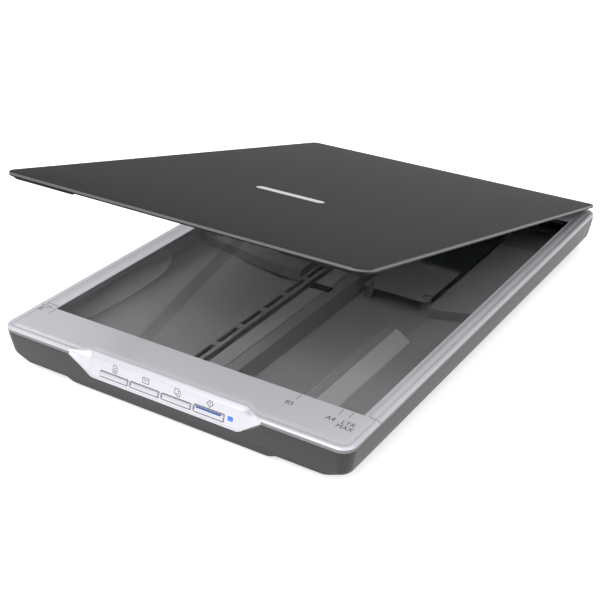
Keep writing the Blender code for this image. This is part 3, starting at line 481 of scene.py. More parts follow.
def raised_floor(bm, sign):
    """The raised floor at the rear of the casing, on its left or right side."""
    inner_x = FLOOR_INNER_X[sign]
    rings = []
    for z, reach, lean in FLOOR_LEVELS:
        ring = [(x if abs(x) < reach else sign * reach, y, z) for x, y in s_edge(sign, inner_x, lean)]
        rings.append(ring + [(sign * reach, FLOOR_REAR, z), (sign * inner_x, FLOOR_REAR, z)])
    loft(bm, rings)


def grip_scoop(bm, sign, steps=40):
    """The inner side of a finger scoop: a slope on the wall that bows inward and upward at its middle."""
    y0, y1 = SCOOP_Y
    rings = []
    for i in range(steps + 1):
        share = i / steps
        bow = math.sin(math.pi * share)
        toe_x, head_z = SCOOP_TOE_X - SCOOP_REACH * bow, SCOOP_HEAD_Z + SCOOP_RISE * bow
        section = [
            (toe_x, 7.0), (toe_x + 0.5, 7.7), (INNER_WALL_X - 0.4, head_z - 0.5), (INNER_WALL_X, head_z),
            (INNER_WALL_X + 0.3, head_z), (INNER_WALL_X + 0.3, 10.5), (114.4, 7.0),
        ]
        rings.append([(sign * x, y0 + (y1 - y0) * share, z) for x, z in section])
    loft(bm, rings)


def panel_share(raw, soft=0.12):
    """From 0 on the plain edge to 1 on the control panel, with a rounded turn at the panel."""
    if raw >= 1 + soft:
        return 1.0
    if raw <= 1 - soft:
        return max(0.0, raw)
    return raw - (raw - 1 + soft) ** 2 / (4 * soft)


def inside_tub(centre, normal):
    """True for the faces of the tub that look inward or up, which get painted light."""
    beside_wall = abs(centre.x) > 109.0 or abs(centre.y) > 174.0
    outward = normal.x * centre.x / HALF_W + normal.y * centre.y / HALF_D > 0.05
    above_underside = centre.z > 4.05 and normal.z > -0.3
    return above_underside and not (beside_wall and outward)


def inside_slope(centre, normal):
    """True for the slopes of the finger scoops and the hump, which get a stronger painted light."""
    in_front_half = centre.y < -10.0 and centre.z > 7.2
    return inside_tub(centre, normal) and in_front_half and 0.2 < normal.z < 0.93


def add_inner_shapes(tub):
    """The raised floors, scoops, hump, screw bosses and shield posts."""
    bm = bmesh.new()
    raised_floor(bm, -1)
    raised_floor(bm, 1)
    combine(tub, "UNION", bm)
    bm = bmesh.new()
    grip_scoop(bm, -1)
    grip_scoop(bm, 1)
    loft(bm, [[(x, y, z) for x, z in HUMP] for y in HUMP_Y])
    combine(tub, "UNION", bm)
    bm = bmesh.new()
    for centre in CASING_BOSSES:
        turned(bm, centre, BOSS_PROFILE)
    for centre in SHIELD_POSTS:
        turned(bm, centre, POST_PROFILE)
    combine(tub, "UNION", bm)


def cut_openings(tub):
    """The panel's notch, the recesses below, the screw holes and the socket's window."""
    bm = bmesh.new()
    half = []
    for raw in NOTCH_SHARES:
        half.append((NOTCH_HALF - NOTCH_RUN * raw, NOTCH_TOP - NOTCH_DROP * panel_share(raw)))
    half.append((NOTCH_HALF + 1.4, RIM_Z + 1.0))
    notch = half + [(-x, z) for x, z in reversed(half)]
    loft(bm, [[(x, y, z) for x, z in notch] for y in (-HALF_D - 3.0, -HALF_D + 6.0)])
    for recess_x in RECESSES_X:
        box(bm, recess_x, RECESS_Y, (0.0, RECESS_TOP))
    for centre in CASING_BOSSES:
        turned(bm, centre, SCREW_HOLE)
    window_x = (USB_LOW.x - 0.5, USB_HIGH.x + 0.5)
    box(bm, window_x, (173.0, HALF_D + 3.0), (USB_LOW.z - 0.6, USB_HIGH.z + 0.4))
    combine(tub, "DIFFERENCE", bm)


def build_tub():
    """The lower casing, open at the top."""
    bm = bmesh.new()
    loft(bm, [sized_ring(*row) for row in TUB_OUTSIDE + TUB_INSIDE])
    tub = new_object("casing_tub", bm)
    add_inner_shapes(tub)
    cut_openings(tub)
    piece(tub, CHARCOAL, "base", ("bottom_casing",), angle=32.0)
    # The inside gets painted light, and its slopes a stronger painted light.
    tint(tub, INSIDE_PAINTED_LIGHT, inside_tub)
    tint(tub, SLOPE_PAINTED_LIGHT, inside_slope)


# Clearances at the hinges: half width, Y and Z. The deck gives way to the barrels and to the legs in their
# slots, and the lid gives way to the barrels.
DECK_BARREL_CUT = (7.6, (177.0, 185.0), (26.9, 32.0))
DECK_LEG_CUT = (3.4, (172.8, 177.4), (22.0, 32.0))
LID_BARREL_CUT = (8.2, (175.0, 182.0), (26.0, HINGE.z + 2.4))


def cut_at_hinges(obj, half, y, z):
    """Takes a box out of a piece at each of the two hinges."""
    bm = bmesh.new()
    for x in (-HINGE_X, HINGE_X):
        box(bm, (x - half, x + half), y, z)
    combine(obj, "DIFFERENCE", bm)


def u_path(x0, x1, front, rear, radius, steps=14):
    """Along the right side to the rear, round both rear corners and forward again on the left."""
    q = math.pi / 2
    points = [(x1, front)] + arc(x1 - radius, rear - radius, radius, 0, q, steps)
    return points + arc(x0 + radius, rear - radius, radius, q, 2 * q, steps) + [(x0, front)]


# The rail from its outer lower edge over the strip, the raised band and the groove up to the deck, and then
# from the deck down to the glass. Rows are measured inward from the outside, or outward from the opening.
EDGE_STRIP = ((0.5, 25.4), (0.15, 25.47), (0.0, 25.65), (0.0, 27.3))
EDGE_BAND = ((0.08, 27.75), (0.35, 28.2), (0.8, 28.55), (1.4, 28.78), (2.0, 28.86), (2.6, 28.8), (3.1, 28.6))
GROOVE = ((3.4, 28.52), (3.7, 28.56), (4.2, 28.72), (4.9, 28.98), (5.5, 29.14), (6.1, DECK_Z))
INNER_EDGE = (
    (4.3, DECK_Z), (3.7, 29.1), (2.9, 28.86), (2.2, 28.7), (1.5, 28.6), (1.05, 28.56), (0.9, 28.84),
    (0.55, 28.84), (0.2, 28.7), (0.0, 28.5), (0.0, LIP_Z),
)
FRAME_FOOT_Z, FRAME_SEAT_Z = 23.5, 25.4
# The top of the upright strip that gets painted shade.
STRIP_TOP = 27.4
# Half the width of the panel with its slanted ends, measured on the strip.
PANEL_REACH = 69.2
# How far the rails and the front cover each stand back from the seam between them.
RAIL_SEAM, COVER_SEAM = 0.45, 0.25


def on_strip(centre, normal):
    """True for the upright strip that runs round below the deck's rounded edge, which gets painted shade."""
    outer = abs(centre.x) > HALF_W - 0.3 or abs(centre.y) > HALF_D - 0.3
    corner = abs(centre.x) > HALF_W - CORNER and abs(centre.y) > HALF_D - CORNER
    clear_of_panel = centre.y > 0 or abs(centre.x) > PANEL_REACH
    return (outer or corner) and clear_of_panel and centre.z < STRIP_TOP and abs(normal.z) < 0.5


def build_frame():
    """The deck's side and rear rails, round the glass."""
    front = OPEN_Y[0] + RAIL_SEAM
    sections = [("out", 2.6, FRAME_FOOT_Z), ("out", 2.6, FRAME_SEAT_Z)]
    sections += [("out", inset, z) for inset, z in EDGE_STRIP + EDGE_BAND + GROOVE]
    sections += [("in", inset, z) for inset, z in INNER_EDGE]
    sections += [("under", 0.0, LIP_Z), ("under", 0.0, FRAME_FOOT_Z)]
    columns = []
    for kind, inset, z in sections:
        if kind == "out":
            path = u_path(-HALF_W + inset, HALF_W - inset, front, HALF_D - inset, max(CORNER - inset, 0.6))
        elif kind == "in":
            path = u_path(OPEN_X[0] - inset, OPEN_X[1] + inset, front, OPEN_Y[1] + inset, 0.6)
        else:
            side, rear = GLASS_LAP + 0.4, GLASS_REAR_LAP + 0.4
            path = u_path(OPEN_X[0] - side, OPEN_X[1] + side, front, OPEN_Y[1] + rear, 0.6)
        columns.append(level(path, z))
    bm = bmesh.new()
    loft(bm, [list(section) for section in zip(*columns)])
    rails = new_object("deck_frame", bm)
    cut_at_hinges(rails, *DECK_BARREL_CUT)
    cut_at_hinges(rails, *DECK_LEG_CUT)
    piece(rails, SILVER, "base", ("top_frame",), angle=40.0)
    # The upright strip below the rounded edge gets painted shade.
    tint(rails, SILVER_PAINTED_SHADE, on_strip)


# The front cover's rows: inset and height on the plain edge and on the control panel, the |X| between which
# the row passes from one to the other, and whether it eases between them.
BEZEL_ROWS = (
    ((3.0, 26.6), (6.4, 26.2), 69.0, 54.5, False),
    ((2.2, 25.45), (2.9, 15.2), 69.0, 53.5, False),
    ((0.5, 25.4), (0.9, 14.3), 69.0, 53.5, False),
    ((0.2, 25.46), (0.25, 14.45), 69.0, 53.5, False),
    ((0.05, 25.54), (0.12, 14.8), 69.1, 53.5, False),
    ((0.0, 25.65), (0.22, 15.2), 69.3, 53.6, False),
    ((0.0, 25.8), (0.74, 15.45), 69.6, 53.9, False),
    ((0.0, 27.3), (4.11, 25.8), 69.6, 55.0, False),
    ((0.08, 27.75), (4.35, 26.35), 69.4, 55.2, True),
    ((0.35, 28.2), (4.8, 26.95), 68.8, 55.4, True),
    ((0.8, 28.55), (5.5, 27.7), 67.8, 55.5, True),
    ((1.4, 28.78), (6.2, 28.3), 66.6, 55.6, True),
    ((2.0, 28.86), (6.75, 28.65), 65.4, 55.7, True),
    ((2.6, 28.8), (7.05, 28.72), 64.4, 55.8, True),
    ((3.1, 28.6), (7.35, 28.6), 63.8, 55.8, True),
    ((3.4, 28.52), (7.6, 28.52), 63.5, 55.8, True),
    ((3.7, 28.56), (7.9, 28.56), 63.3, 55.8, True),
    ((4.2, 28.72), (8.4, 28.72), 63.1, 55.7, True),
    ((4.9, 28.98), (9.1, 28.98), 62.9, 55.6, True),
    ((5.5, 29.14), (9.7, 29.14), 62.7, 55.6, True),
    ((6.1, DECK_Z), (10.3, DECK_Z), 62.5, 55.5, True),
    ((6.6, DECK_Z), (10.8, DECK_Z), 62.4, 55.5, True),
)


def bezel_columns():
    """Places along the cover's outer edge, from its right end round to its left end."""
    rear = OPEN_Y[0] - COVER_SEAM
    columns = [("side", 1, rear), ("side", 1, -160.0)]
    columns += [("corner", 1, -math.pi / 2 * i / 16) for i in range(17)]
    xs = [110.0, 95.0, 82.0, 74.0] + [72.0 - 0.5 * i for i in range(43)] + [48.0, 35.0, 15.0]
    columns += [("front", 1, x) for x in xs] + [("front", 1, -x) for x in reversed(xs)]
    columns += [("corner", -1, -math.pi / 2 * (1 - i / 16)) for i in range(17)]
    return columns + [("side", -1, -160.0), ("side", -1, rear)]


def bezel_point(column, row):
    """Where a row of the cover crosses one of its columns."""
    kind, sign, value = column
    (edge_inset, edge_z), (panel_inset, panel_z), start, end, eased = row
    share = 0.0
    if kind == "front":
        share = (start - abs(value)) / (start - end)
        if eased:
            share = min(1.0, max(0.0, share))
            share = share * share * (3 - 2 * share)
        else:
            share = panel_share(share)
    inset = edge_inset + (panel_inset - edge_inset) * share
    z = edge_z + (panel_z - edge_z) * share
    if kind == "side":
        return sign * (HALF_W - inset), value, z
    if kind == "front":
        return value, -HALF_D + inset, z
    radius = max(CORNER - inset, 0.5)
    centre_x, centre_y = HALF_W - CORNER, -HALF_D + CORNER
    return sign * (centre_x + radius * math.cos(value)), centre_y + radius * math.sin(value), z


def build_bezel():
    """The front cover: the deck's front edge, the control panel and their slanted turn, as one skin."""
    columns = bezel_columns()
    bm = bmesh.new()
    grid = [[bm.verts.new(bezel_point(column, row)) for row in BEZEL_ROWS] for column in columns]
    for here, there in zip(grid, grid[1:]):
        for j in range(len(BEZEL_ROWS) - 1):
            bm.faces.new((here[j], there[j], there[j + 1], here[j + 1]))
    bm.faces.new([column[-1] for column in grid])
    bm.faces.new([column[0] for column in reversed(grid)])
    bm.faces.new(list(grid[0]) + list(reversed(grid[-1])))
    bezel = new_object("front_cover", bm)
    bm = bmesh.new()
    lap = GLASS_LAP + 0.7
    box(bm, (OPEN_X[0] - lap, OPEN_X[1] + lap), (OPEN_Y[0] - lap, OPEN_Y[0] + 1), (20.0, LIP_Z))
    combine(bezel, "DIFFERENCE", bm)
    bm = bmesh.new()
    for name in BUTTONS:
        hole = button_outline(*button_box(name), BUTTON_GAP, 0.6)
        loft(bm, [level(hole, w) for w in THROUGH_PANEL])
    box(bm, (LED_X[0] - LED_GAP, LED_X[1] + LED_GAP), (LED_V[0] - LED_GAP, LED_V[1] + LED_GAP), THROUGH_PANEL)
    combine(bezel, "DIFFERENCE", bm, PANEL)
    piece(bezel, SILVER, "base", ("front_bezel",), angle=38.0)
    # The upright strip below the rounded edge gets painted shade.
    tint(bezel, SILVER_PAINTED_SHADE, on_strip)


# ---------------------------------------------------------------- control panel

# The panel's face: local X along it, Y up it and Z out of it.
# It runs from its foot to its head, and its origin lies between them at a height of its own.
PANEL_FOOT, PANEL_HEAD = Vector((0.0, -181.5, 14.7)), Vector((0.0, -177.5, 27.0))
PANEL_RISE = PANEL_HEAD - PANEL_FOOT
PANEL_ORIGIN_Z = 18.5
PANEL_MIDDLE = PANEL_FOOT.lerp(PANEL_HEAD, (PANEL_ORIGIN_Z - PANEL_FOOT.z) / PANEL_RISE.z)
PANEL = Matrix.Translation(PANEL_MIDDLE) @ Matrix.Rotation(math.atan2(PANEL_RISE.z, PANEL_RISE.y), 4, "X")
# A cut right through the panel's face.
THROUGH_PANEL = (-4.0, 3.0)
BUTTON_HALF = 10.1
BUTTON_V = (-1.55, 1.6)
START_BUTTON_HEAD = 2.4
BUTTON_GAP = 0.5
LED_X = (45.7, 48.9)
LED_V = (0.3, 2.6)
LED_GAP = 0.15
PRINT_LINE, BOLD_LINE = 0.35, 0.45
ICON_V, START_ICON_V = 5.3, 5.8


def button_box(name):
    """A button's middle along the panel, and its lower and upper edge up it."""
    low, high = corners(name)
    head = START_BUTTON_HEAD if name == "start_button" else BUTTON_V[1]
    return (low.x + high.x) / 2, BUTTON_V[0], head


def button_outline(x, low, high, margin, radius):
    """An outline that stands outside a button by a margin."""
    half = BUTTON_HALF + margin
    return rounded(x - half, x + half, low - margin, high + margin, radius, steps=4)


def pillow(bm, x, y, base, top, corner=0.5, round_by=0.7, steps=6):
    """A rounded bar: straight sides from base, and a crowned face at top."""
    rings = [level(rounded(*x, *y, corner), base)]
    for i in range(steps + 1):
        angle = math.pi / 2 * i / steps
        inset = round_by * (1 - math.cos(angle))
        z = top - round_by * 0.8 * (1 - math.sin(angle))
        outline = rounded(x[0] + inset, x[1] - inset, y[0] + inset, y[1] - inset, max(corner - inset, 0.1))
        rings.append(level(outline, z))
    loft(bm, rings)


def stroke(bm, points, width=PRINT_LINE, lift=0.03, closed=False):
    """A thin printed line on the panel or the deck, as a flat strip with a little height."""
    points = [Vector(p) for p in points]
    if closed:
        points.append(points[0])
    for a, b in zip(points, points[1:]):
        along = (b - a).normalized()
        side = Vector((-along.y, along.x)) * width / 2
        a, b = a - along * width / 2, b + along * width / 2
        outline = [tuple(a - side), tuple(b - side), tuple(b + side), tuple(a + side)]
        loft(bm, [level(outline, 0.0), level(outline, lift)])


def frame_points(x, v, left, right, low, high):
    """The four corners of a rectangle about (x, v)."""
    return [(x + left, v + low), (x + right, v + low), (x + right, v + high), (x + left, v + high)]


def page_icon(bm, x, v):
    """A page with a cut corner and three lines."""
    outline = [(-1.6, -2.2), (-1.6, 2.2), (0.6, 2.2), (1.6, 1.2), (1.6, -2.2)]
    stroke(bm, [(x + a, v + b) for a, b in outline], closed=True)
    for line in (0.6, -0.4, -1.3):
        stroke(bm, [(x - 0.8, v + line), (x + 0.8, v + line)])


def envelope_icon(bm, x, v):
    """An envelope with its flap."""
    stroke(bm, frame_points(x, v, -2.3, 2.3, -1.6, 1.6), closed=True)
    stroke(bm, [(x - 1.6, v + 1.0), (x, v - 0.4), (x + 1.6, v + 1.0)])


def copy_icon(bm, x, v):
    """A sheet in front of another."""
    stroke(bm, frame_points(x, v, -2.0, 0.6, -1.0, 2.1), closed=True)
    behind = [(1.1, 1.1), (2.0, 1.1), (2.0, -2.1), (-0.7, -2.1), (-0.7, -1.5)]
    stroke(bm, [(x + a, v + b) for a, b in behind])


def start_icon(bm, x, v):
    """An open diamond with a bar at its top."""
    diamond = [(-0.9, 1.6), (-2.1, 0.0), (0.0, -2.1), (2.1, 0.0), (0.9, 1.6)]
    stroke(bm, [(x + a, v + b) for a, b in diamond], BOLD_LINE)
    stroke(bm, [(x, v - 0.4), (x, v + 1.7)], BOLD_LINE)


def build_icons():
    """A printed icon above each button."""
    bm = bmesh.new()
    icons = ((page_icon, ICON_V), (envelope_icon, ICON_V), (copy_icon, ICON_V), (start_icon, START_ICON_V))
    for name, (icon, v) in zip(BUTTONS, icons):
        icon(bm, button_box(name)[0], v)
    piece(new_object("panel_icons", bm, PANEL), INK, "base")


def build_pins():
    """Bright pins that stand between neighbouring buttons."""
    boxes = [button_box(name) for name in BUTTONS]
    low = BUTTON_V[0]
    bm = bmesh.new()
    for here, after in zip(boxes, boxes[1:]):
        middle = (here[0] + after[0]) / 2
        pillow(bm, (middle - 0.75, middle + 0.75), (low - 0.1, low + 3.2), -0.3, 1.0, 0.7, 0.7)
    piece(new_object("button_pins", bm, PANEL), BRIGHT, "base")


def build_liner():
    """A black sleeve in the gap round each button, as painted shade for the dark gap."""
    top, foot = -0.35, -1.9
    bm = bmesh.new()
    for name in BUTTONS:
        outer = button_outline(*button_box(name), BUTTON_GAP, 0.6)
        inner = button_outline(*button_box(name), 0.12, 0.55)
        loft(bm, [level(outer, top), level(outer, foot), level(inner, foot), level(inner, top)], loop=True)
    piece(new_object("button_gap_painted_shade", bm, PANEL), BLACK, "base")


def build_controls():
    """The four buttons with their pins, icons and the black sleeve of painted shade in their gaps, and the
    light's window.
    """
    for name in BUTTONS:
        x, low, high = button_box(name)
        bm = bmesh.new()
        pillow(bm, (x - BUTTON_HALF, x + BUTTON_HALF), (low, high), -2.3, 1.1, round_by=1.4)
        box(bm, (x - BUTTON_HALF - 0.9, x + BUTTON_HALF + 0.9), (low - 0.8, high + 0.8), (-3.1, -2.2))
        piece(new_object(name + "_cap", bm, PANEL), BRIGHT, name + "_body", (name,))
    x, low, high = button_box("start_button")
    bm = bmesh.new()
    pillow(bm, (x - 9.3, x + 9.3), (0.45, high - 0.12), 0.0, 1.16, corner=0.4, round_by=1.15)
    piece(new_object("start_button_stripe", bm, PANEL), BLUE, "start_button_body")
    bm = bmesh.new()
    pillow(bm, LED_X, LED_V, -6.9, 0.3, corner=0.4, round_by=0.3)
    piece(new_object("led_window", bm, PANEL), LED, "base", ("led_lens",))
    build_pins()
    build_liner()
    build_icons()


def label(name, text, size, place):
    """Small printed text, as a thin solid on the deck."""
    curve = bpy.data.curves.new(name + "_curve", "FONT")
    curve.body = text
    curve.size = size
    curve.align_x = "CENTER"
    curve.extrude = 0.02
    curve.space_line = 0.85
    helper = bpy.data.objects.new(name + "_curve", curve)
    bpy.context.scene.collection.objects.link(helper)
    mesh = bpy.data.meshes.new_from_object(helper.evaluated_get(bpy.context.evaluated_depsgraph_get()))
    bpy.data.objects.remove(helper)
    bm = bmesh.new()
    bm.from_mesh(mesh)
    bmesh.ops.remove_doubles(bm, verts=bm.verts, dist=0.0001)
    piece(new_object(name, bm, place), INK, "base")


def build_marks():
    """The paper-size ticks and labels on the deck, in front of the glass and at its left corner."""
    deck = Matrix.Translation((0.0, 0.0, DECK_Z))
    edge, left = OPEN_Y[0] - 1.2, OPEN_X[0]
    bm = bmesh.new()
    for x, length in ((74.9, 5.2), (102.4, 5.6), (108.8, 5.6)):
        stroke(bm, [(x, edge), (x, edge - length)])
    stroke(bm, [(left - 1.0, edge + 4.0), (left - 9.0, edge + 4.0)])
    stroke(bm, [(left + 1.0, edge), (left + 1.0, edge - 7.0)])
    stroke(bm, [(left - 1.5, edge), (left - 5.5, edge), (left - 5.5, edge - 1.6)])
    piece(new_object("paper_marks", bm, deck), INK, "base")
    for name, text, size, x, y in (
        ("label_b5", "B5", 5.2, 73.6, -162.0), ("label_a4", "A4", 5.2, 100.6, -163.0),
        ("label_letter", "LTR\nMAX", 4.9, 111.6, -162.5),
    ):
        label(name, text, size, Matrix.Translation((x, y, DECK_Z)))
    turn = Matrix.Rotation(math.radians(90.0), 4, "Z")
    label("label_left", "B5", 4.2, Matrix.Translation((left - 6.4, edge - 3.4, DECK_Z)) @ turn)


# ---------------------------------------------------------------- lid


LID_HALF, LID_Y = 123.0, (-179.8, 179.9)
LID_FOOT, LID_RIM_FOOT, LID_TOP = 29.9, 31.5, 33.8
LID_FRONT_RADIUS, LID_REAR_RADIUS = 10.0, 5.0

# The lid's section: how far in from its outline and how high, from its inner face round its foot and up
# its rim to its top. The top is crowned over two smaller rings of half width, half depth and rise.
LID_SECTION = (
    (4.8, 32.4), (4.8, LID_FOOT + 0.2), (4.6, LID_FOOT), (3.4, LID_FOOT), (3.2, LID_FOOT + 0.2),
    (3.2, LID_RIM_FOOT + 0.05), (3.0, LID_RIM_FOOT + 0.15), (0.5, LID_RIM_FOOT), (0.1, LID_RIM_FOOT + 0.12),
    (0.0, LID_RIM_FOOT + 0.35), (0.0, LID_RIM_FOOT + 0.95), (0.0, LID_TOP - 0.75), (0.08, LID_TOP - 0.4),
    (0.3, LID_TOP - 0.14), (0.7, LID_TOP), (1.4, LID_TOP + 0.03), (3.0, LID_TOP + 0.06),
)
LID_CROWN = 0.4
CROWN_RINGS = ((95.0, 150.0, 0.3), (50.0, 90.0, LID_CROWN))

# The cut under the lid's front edge above the control panel, the pieces under the lid, and the badge.
LID_CUT, LID_CUT_Z = ((-72.0, -183.0), (72.0, -183.0), (70.0, -174.0), (-70.0, -174.0)), (29.0, 31.0)
LINER_OUTLINE, LINER_Z = (-117.9, 117.9, -174.7, 165.0, 4.9, 2.0), (31.0, 32.1)
PAD_INSET_X, PAD_INSET_Y, PAD_RADIUS = 1.4, 1.6, 3.0
FOAM_Z, SHEET_Z = (29.1, 29.5, 30.3, 30.7), (28.3, 28.8)
BADGE_MIDDLE = (-2.0, -52.0)


def on_lid_rim(centre, normal):
    """True for the upper part of the lid's edge, all round, which gets a painted highlight."""
    near_x = abs(centre.x) > LID_HALF - 0.75
    near_y = centre.y < LID_Y[0] + 0.75 or centre.y > LID_Y[1] - 0.75
    in_corner = abs(centre.x) > LID_HALF - LID_FRONT_RADIUS and centre.y < LID_Y[0] + LID_FRONT_RADIUS
    corner = in_corner and normal.z < 0.85
    return (near_x or near_y or corner) and LID_RIM_FOOT + 0.9 < centre.z < LID_TOP + 0.02


def lid_place():
    """The turn about the hinge that opens the lid from lying shut to where it stands in the CAD model."""
    return Matrix.Translation(HINGE) @ Matrix.Rotation(-LID_OPEN, 4, "X") @ Matrix.Translation(-HINGE)


def lid_ring(inset, z):
    """The lid's outline, drawn in by inset."""
    sides = (-LID_HALF + inset, LID_HALF - inset, LID_Y[0] + inset, LID_Y[1] - inset)
    return level(rounded(*sides, LID_FRONT_RADIUS - inset, LID_REAR_RADIUS - inset, 16), z)


def build_lid_cover(place):
    """The lid's shell. It is cut while it lies shut, and then opened."""
    rings = [lid_ring(*row) for row in LID_SECTION]
    for half_x, half_y, rise in CROWN_RINGS:
        rings.append(level(rounded(-half_x, half_x, -half_y, half_y, 8, 5, 16), LID_TOP + rise))
    bm = bmesh.new()
    loft(bm, rings)
    cover = new_object("lid_shell", bm)
    bm = bmesh.new()
    loft(bm, [level(LID_CUT, z) for z in LID_CUT_Z])
    combine(cover, "DIFFERENCE", bm)
    cut_at_hinges(cover, *LID_BARREL_CUT)
    piece(cover, LID_BLACK, "lid", ("lid_cover",), angle=40.0)
    # The upper part of the lid's edge gets a painted highlight.
    tint(cover, LID_RIM_HIGHLIGHT, on_lid_rim)
    cover.data.transform(Matrix.Scale(MM, 4) @ place @ Matrix.Scale(1 / MM, 4))


def build_lid_lining(place):
    """The inner panel, the foam pad and the white sheet under the lid."""
    bm = bmesh.new()
    loft(bm, [level(rounded(*LINER_OUTLINE), z) for z in LINER_Z])
    soften(bm, 0.3)
    piece(new_object("lid_liner", bm, place), CHARCOAL, "lid", ("lid_inner_panel",))
    pad_x = (OPEN_X[0] + PAD_INSET_X, OPEN_X[1] - PAD_INSET_X)
    pad_y = (OPEN_Y[0] + PAD_INSET_Y, OPEN_Y[1] - PAD_INSET_Y)
    pad = rounded(*pad_x, *pad_y, PAD_RADIUS)
    bm = bmesh.new()
    loft(bm, [level(pad, z) for z in FOAM_Z])
    foam = piece(new_object("lid_foam", bm, place), FOAM, "lid", ("lid_foam_pad",))
    bm = bmesh.new()
    loft(bm, [level(pad, z) for z in SHEET_Z])
    soften(bm, 0.15)
    piece(new_object("lid_backing_sheet", bm, place), WHITE, "lid", ("lid_white_sheet",))


def build_lid():
    """The lid with everything under it, and the bar-shaped badge on its top."""
    place = lid_place()
    build_lid_cover(place)
    build_lid_lining(place)
    bm = bmesh.new()
    pillow(bm, (-25.0, 25.0), (-3.6, 3.6), -0.3, 0.14, corner=3.5, round_by=0.15, steps=3)
    badge = place @ Matrix.Translation((*BADGE_MIDDLE, LID_TOP + LID_CROWN))
    piece(new_object("lid_badge", bm, badge), BRIGHT, "lid")


# ---------------------------------------------------------------- other pieces


def build_carriage_ribbon(steps=60):
    """The flat cable between the casing and the sensor bar. It rides on no body, because it crosses the
    slide.
    """
    low, high = corners("carriage_ribbon")
    section = ((low.x, low.z), (high.x, low.z), (high.x, high.z), (low.x, high.z))
    bm = bmesh.new()
    rings = []
    for i in range(steps + 1):
        y = low.y + (high.y - low.y) * i / steps
        rings.append([(x, y, z) for x, z in section])
    loft(bm, rings)
    ribbon = new_object("carriage_ribbon_fine", bm)
    ribbon.data.materials.append(RIBBON)
    ribbon.data.shade_smooth()
    ribbon.data.set_sharp_from_angle(angle=math.radians(30.0))
    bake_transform(ribbon)
    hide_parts("carriage_ribbon")


def build_rest():
    """The pieces that keep their CAD shape: the glass, the works inside, the hinges, feet and screws."""
    glass = refined("document_glass", GLASS, 0.3)
    tint(glass, GLASS_BACK, lambda centre, normal: normal.z < 0.5)
    # The guide rail and the board shield get the inner plastic's painted light.
    for node, material, width in (
        ("guide_rail", INNER_PAINTED_LIGHT, 0.3), ("board_shield", INNER_PAINTED_LIGHT, 0.25), ("carriage_tray", BLACK, 0.3),
        ("sensor_housing", BLACK, 0.3), ("rod_lens_strip", LENS, 0.2), ("calibration_strip", WHITE, 0.1),
        ("front_panel_ribbon", RIBBON, 0.0), ("ribbon_clamp", BLACK, 0.15),
        ("main_board", GREEN, 0.1), ("button_board", GREEN, 0.1), ("usb_socket", STEEL, 0.2),
        ("drive_belt", RUBBER, 0.1), ("motor_case", STEEL, 0.2), ("motor_bracket", STEEL, 0.15),
        ("idler_bracket", STEEL, 0.15), ("tension_spring", STEEL, 0.0), ("belt_clamp", BLACK, 0.2),
        ("motor_pinion", STEEL, 0.08), ("drive_gear", ACETAL, 0.08), ("idler_pulley", ACETAL, 0.08),
    ):
        refined(node, material, width)
    build_carriage_ribbon()
    for side in ("left", "right"):
        for node, material, width in (
            ("shield_screw_", STEEL, 0.15), ("bracket_screw_", STEEL, 0.15), ("hinge_leg_", CHARCOAL, 0.2),
            ("hinge_pin_", STEEL, 0.1), ("hinge_bracket_", CHARCOAL, 0.2), ("glass_spacer_", ACETAL, 0.15),
            ("lift_spring_", STEEL, 0.0),
        ):
            refined(node + side, material, width)
    for corner in ("front_left", "front_right", "rear_left", "rear_right"):
        refined("foot_" + corner, RUBBER, 0.4, 3)
        refined("casing_screw_" + corner, STEEL, 0.15)
    for index in range(1, 5):
        refined("tact_switch_" + str(index), BLACK, 0.15)


# ---------------------------------------------------------------- stage


# The camera: its place in metres, its angles in degrees and its lens in millimetres.
CAMERA_PLACE = (0.36827, -0.60797, 0.38089)
AZIMUTH, ELEVATION, ROLL = 32.721, 28.234, -0.092
LENS_LENGTH, SENSOR_WIDTH = 69.73, 36.0

# The floor: half its side in millimetres, and the strength of its glow.
FLOOR_HALF, FLOOR_GLOW = 60000.0, 0.5

# The sky: a height, from 0 at the horizon and below to 1 straight up, and how bright it is there.
SKY_STEPS = ((0.0, 0.16), (0.35, 0.2), (0.62, 1.25), (1.0, 1.0))
WORLD_LIGHT = 0.98

# Soft lamps: place and target in metres, size in metres and power in watts.
LIGHTS = (
    ("front_key", (-0.6, -2.5, 1.3), (0.0, -0.05, 0.0), 1.1, 30.0),
    ("low_front", (0.35, -2.6, 0.72), (0.0, 0.0, 0.0), 0.9, 12.0),
    ("high_front", (-0.4, -1.7, 2.1), (0.0, -0.1, 0.0), 0.7, 13.0),
    ("right_fill", (2.4, -0.7, 1.3), (0.0, 0.0, 0.0), 1.2, 16.0),
)


def build_camera(scene):
    """The camera that sees the scanner as the photograph does."""
    azimuth, elevation, roll = math.radians(AZIMUTH), math.radians(ELEVATION), math.radians(ROLL)
    across = math.cos(elevation)
    back = Vector((math.sin(azimuth) * across, -math.cos(azimuth) * across, math.sin(elevation)))
    turn = back.to_track_quat("Z", "Y").to_matrix().to_4x4() @ Matrix.Rotation(roll, 4, "Z")
    camera = bpy.data.objects.new("camera", bpy.data.cameras.new("camera"))
    camera.data.lens = LENS_LENGTH
    camera.data.sensor_width = SENSOR_WIDTH
    camera.matrix_world = Matrix.Translation(CAMERA_PLACE) @ turn
    scene.collection.objects.link(camera)
    scene.camera = camera


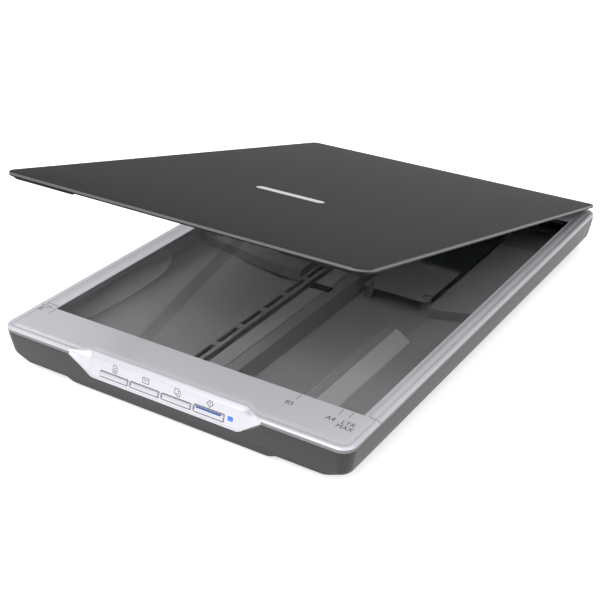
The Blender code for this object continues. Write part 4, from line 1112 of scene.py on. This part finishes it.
def build_floor():
    """A plain white floor that glows a little, so that it stays white."""
    bm = bmesh.new()
    bmesh.ops.create_grid(bm, x_segments=1, y_segments=1, size=FLOOR_HALF)
    floor = new_object("floor", bm)
    white = moulded("floor_white", (0.9, 0.9, 0.905), 0.7, grain=300.0, shift=0.01, spec=0.1)
    paper = white.node_tree.nodes["Principled BSDF"]
    paper.inputs["Emission Color"].default_value = (1.0, 1.0, 1.0, 1.0)
    paper.inputs["Emission Strength"].default_value = FLOOR_GLOW
    floor.data.materials.append(white)


def build_world(scene):
    """Soft light from all sides, brightest high up and dim towards the horizon."""
    world = bpy.data.worlds.new("studio")
    scene.world = world
    world.use_nodes = True
    nodes, links = world.node_tree.nodes, world.node_tree.links
    coords = nodes.new("ShaderNodeTexCoord").outputs["Generated"]
    split = nodes.new("ShaderNodeSeparateXYZ")
    links.new(coords, split.inputs["Vector"])
    ramp = nodes.new("ShaderNodeValToRGB")
    ramp.color_ramp.interpolation = "EASE"
    for index, (height, brightness) in enumerate(SKY_STEPS):
        if index < 2:
            stop = ramp.color_ramp.elements[index]
            stop.position = height
        else:
            stop = ramp.color_ramp.elements.new(height)
        stop.color = (brightness, brightness, brightness, 1.0)
    links.new(split.outputs["Z"], ramp.inputs["Fac"])
    backdrop = nodes["Background"]
    links.new(ramp.outputs["Color"], backdrop.inputs["Color"])
    backdrop.inputs["Strength"].default_value = WORLD_LIGHT


def build_lights(scene):
    """The soft lamps, each turned towards its target."""
    for name, location, target, size, power in LIGHTS:
        light = bpy.data.objects.new(name, bpy.data.lights.new(name, "AREA"))
        light.data.size = size
        light.data.energy = power
        light.location = location
        direction = Vector(location) - Vector(target)
        light.rotation_euler = direction.to_track_quat("Z", "Y").to_euler()
        scene.collection.objects.link(light)


def build_stage():
    """The camera, the floor, the sky and the lamps."""
    scene = bpy.context.scene
    scene.view_settings.view_transform = "Standard"
    build_camera(scene)
    build_floor()
    build_world(scene)
    build_lights(scene)


build_tub()
build_frame()
build_bezel()
build_controls()
build_marks()
build_lid()
build_rest()
build_stage()
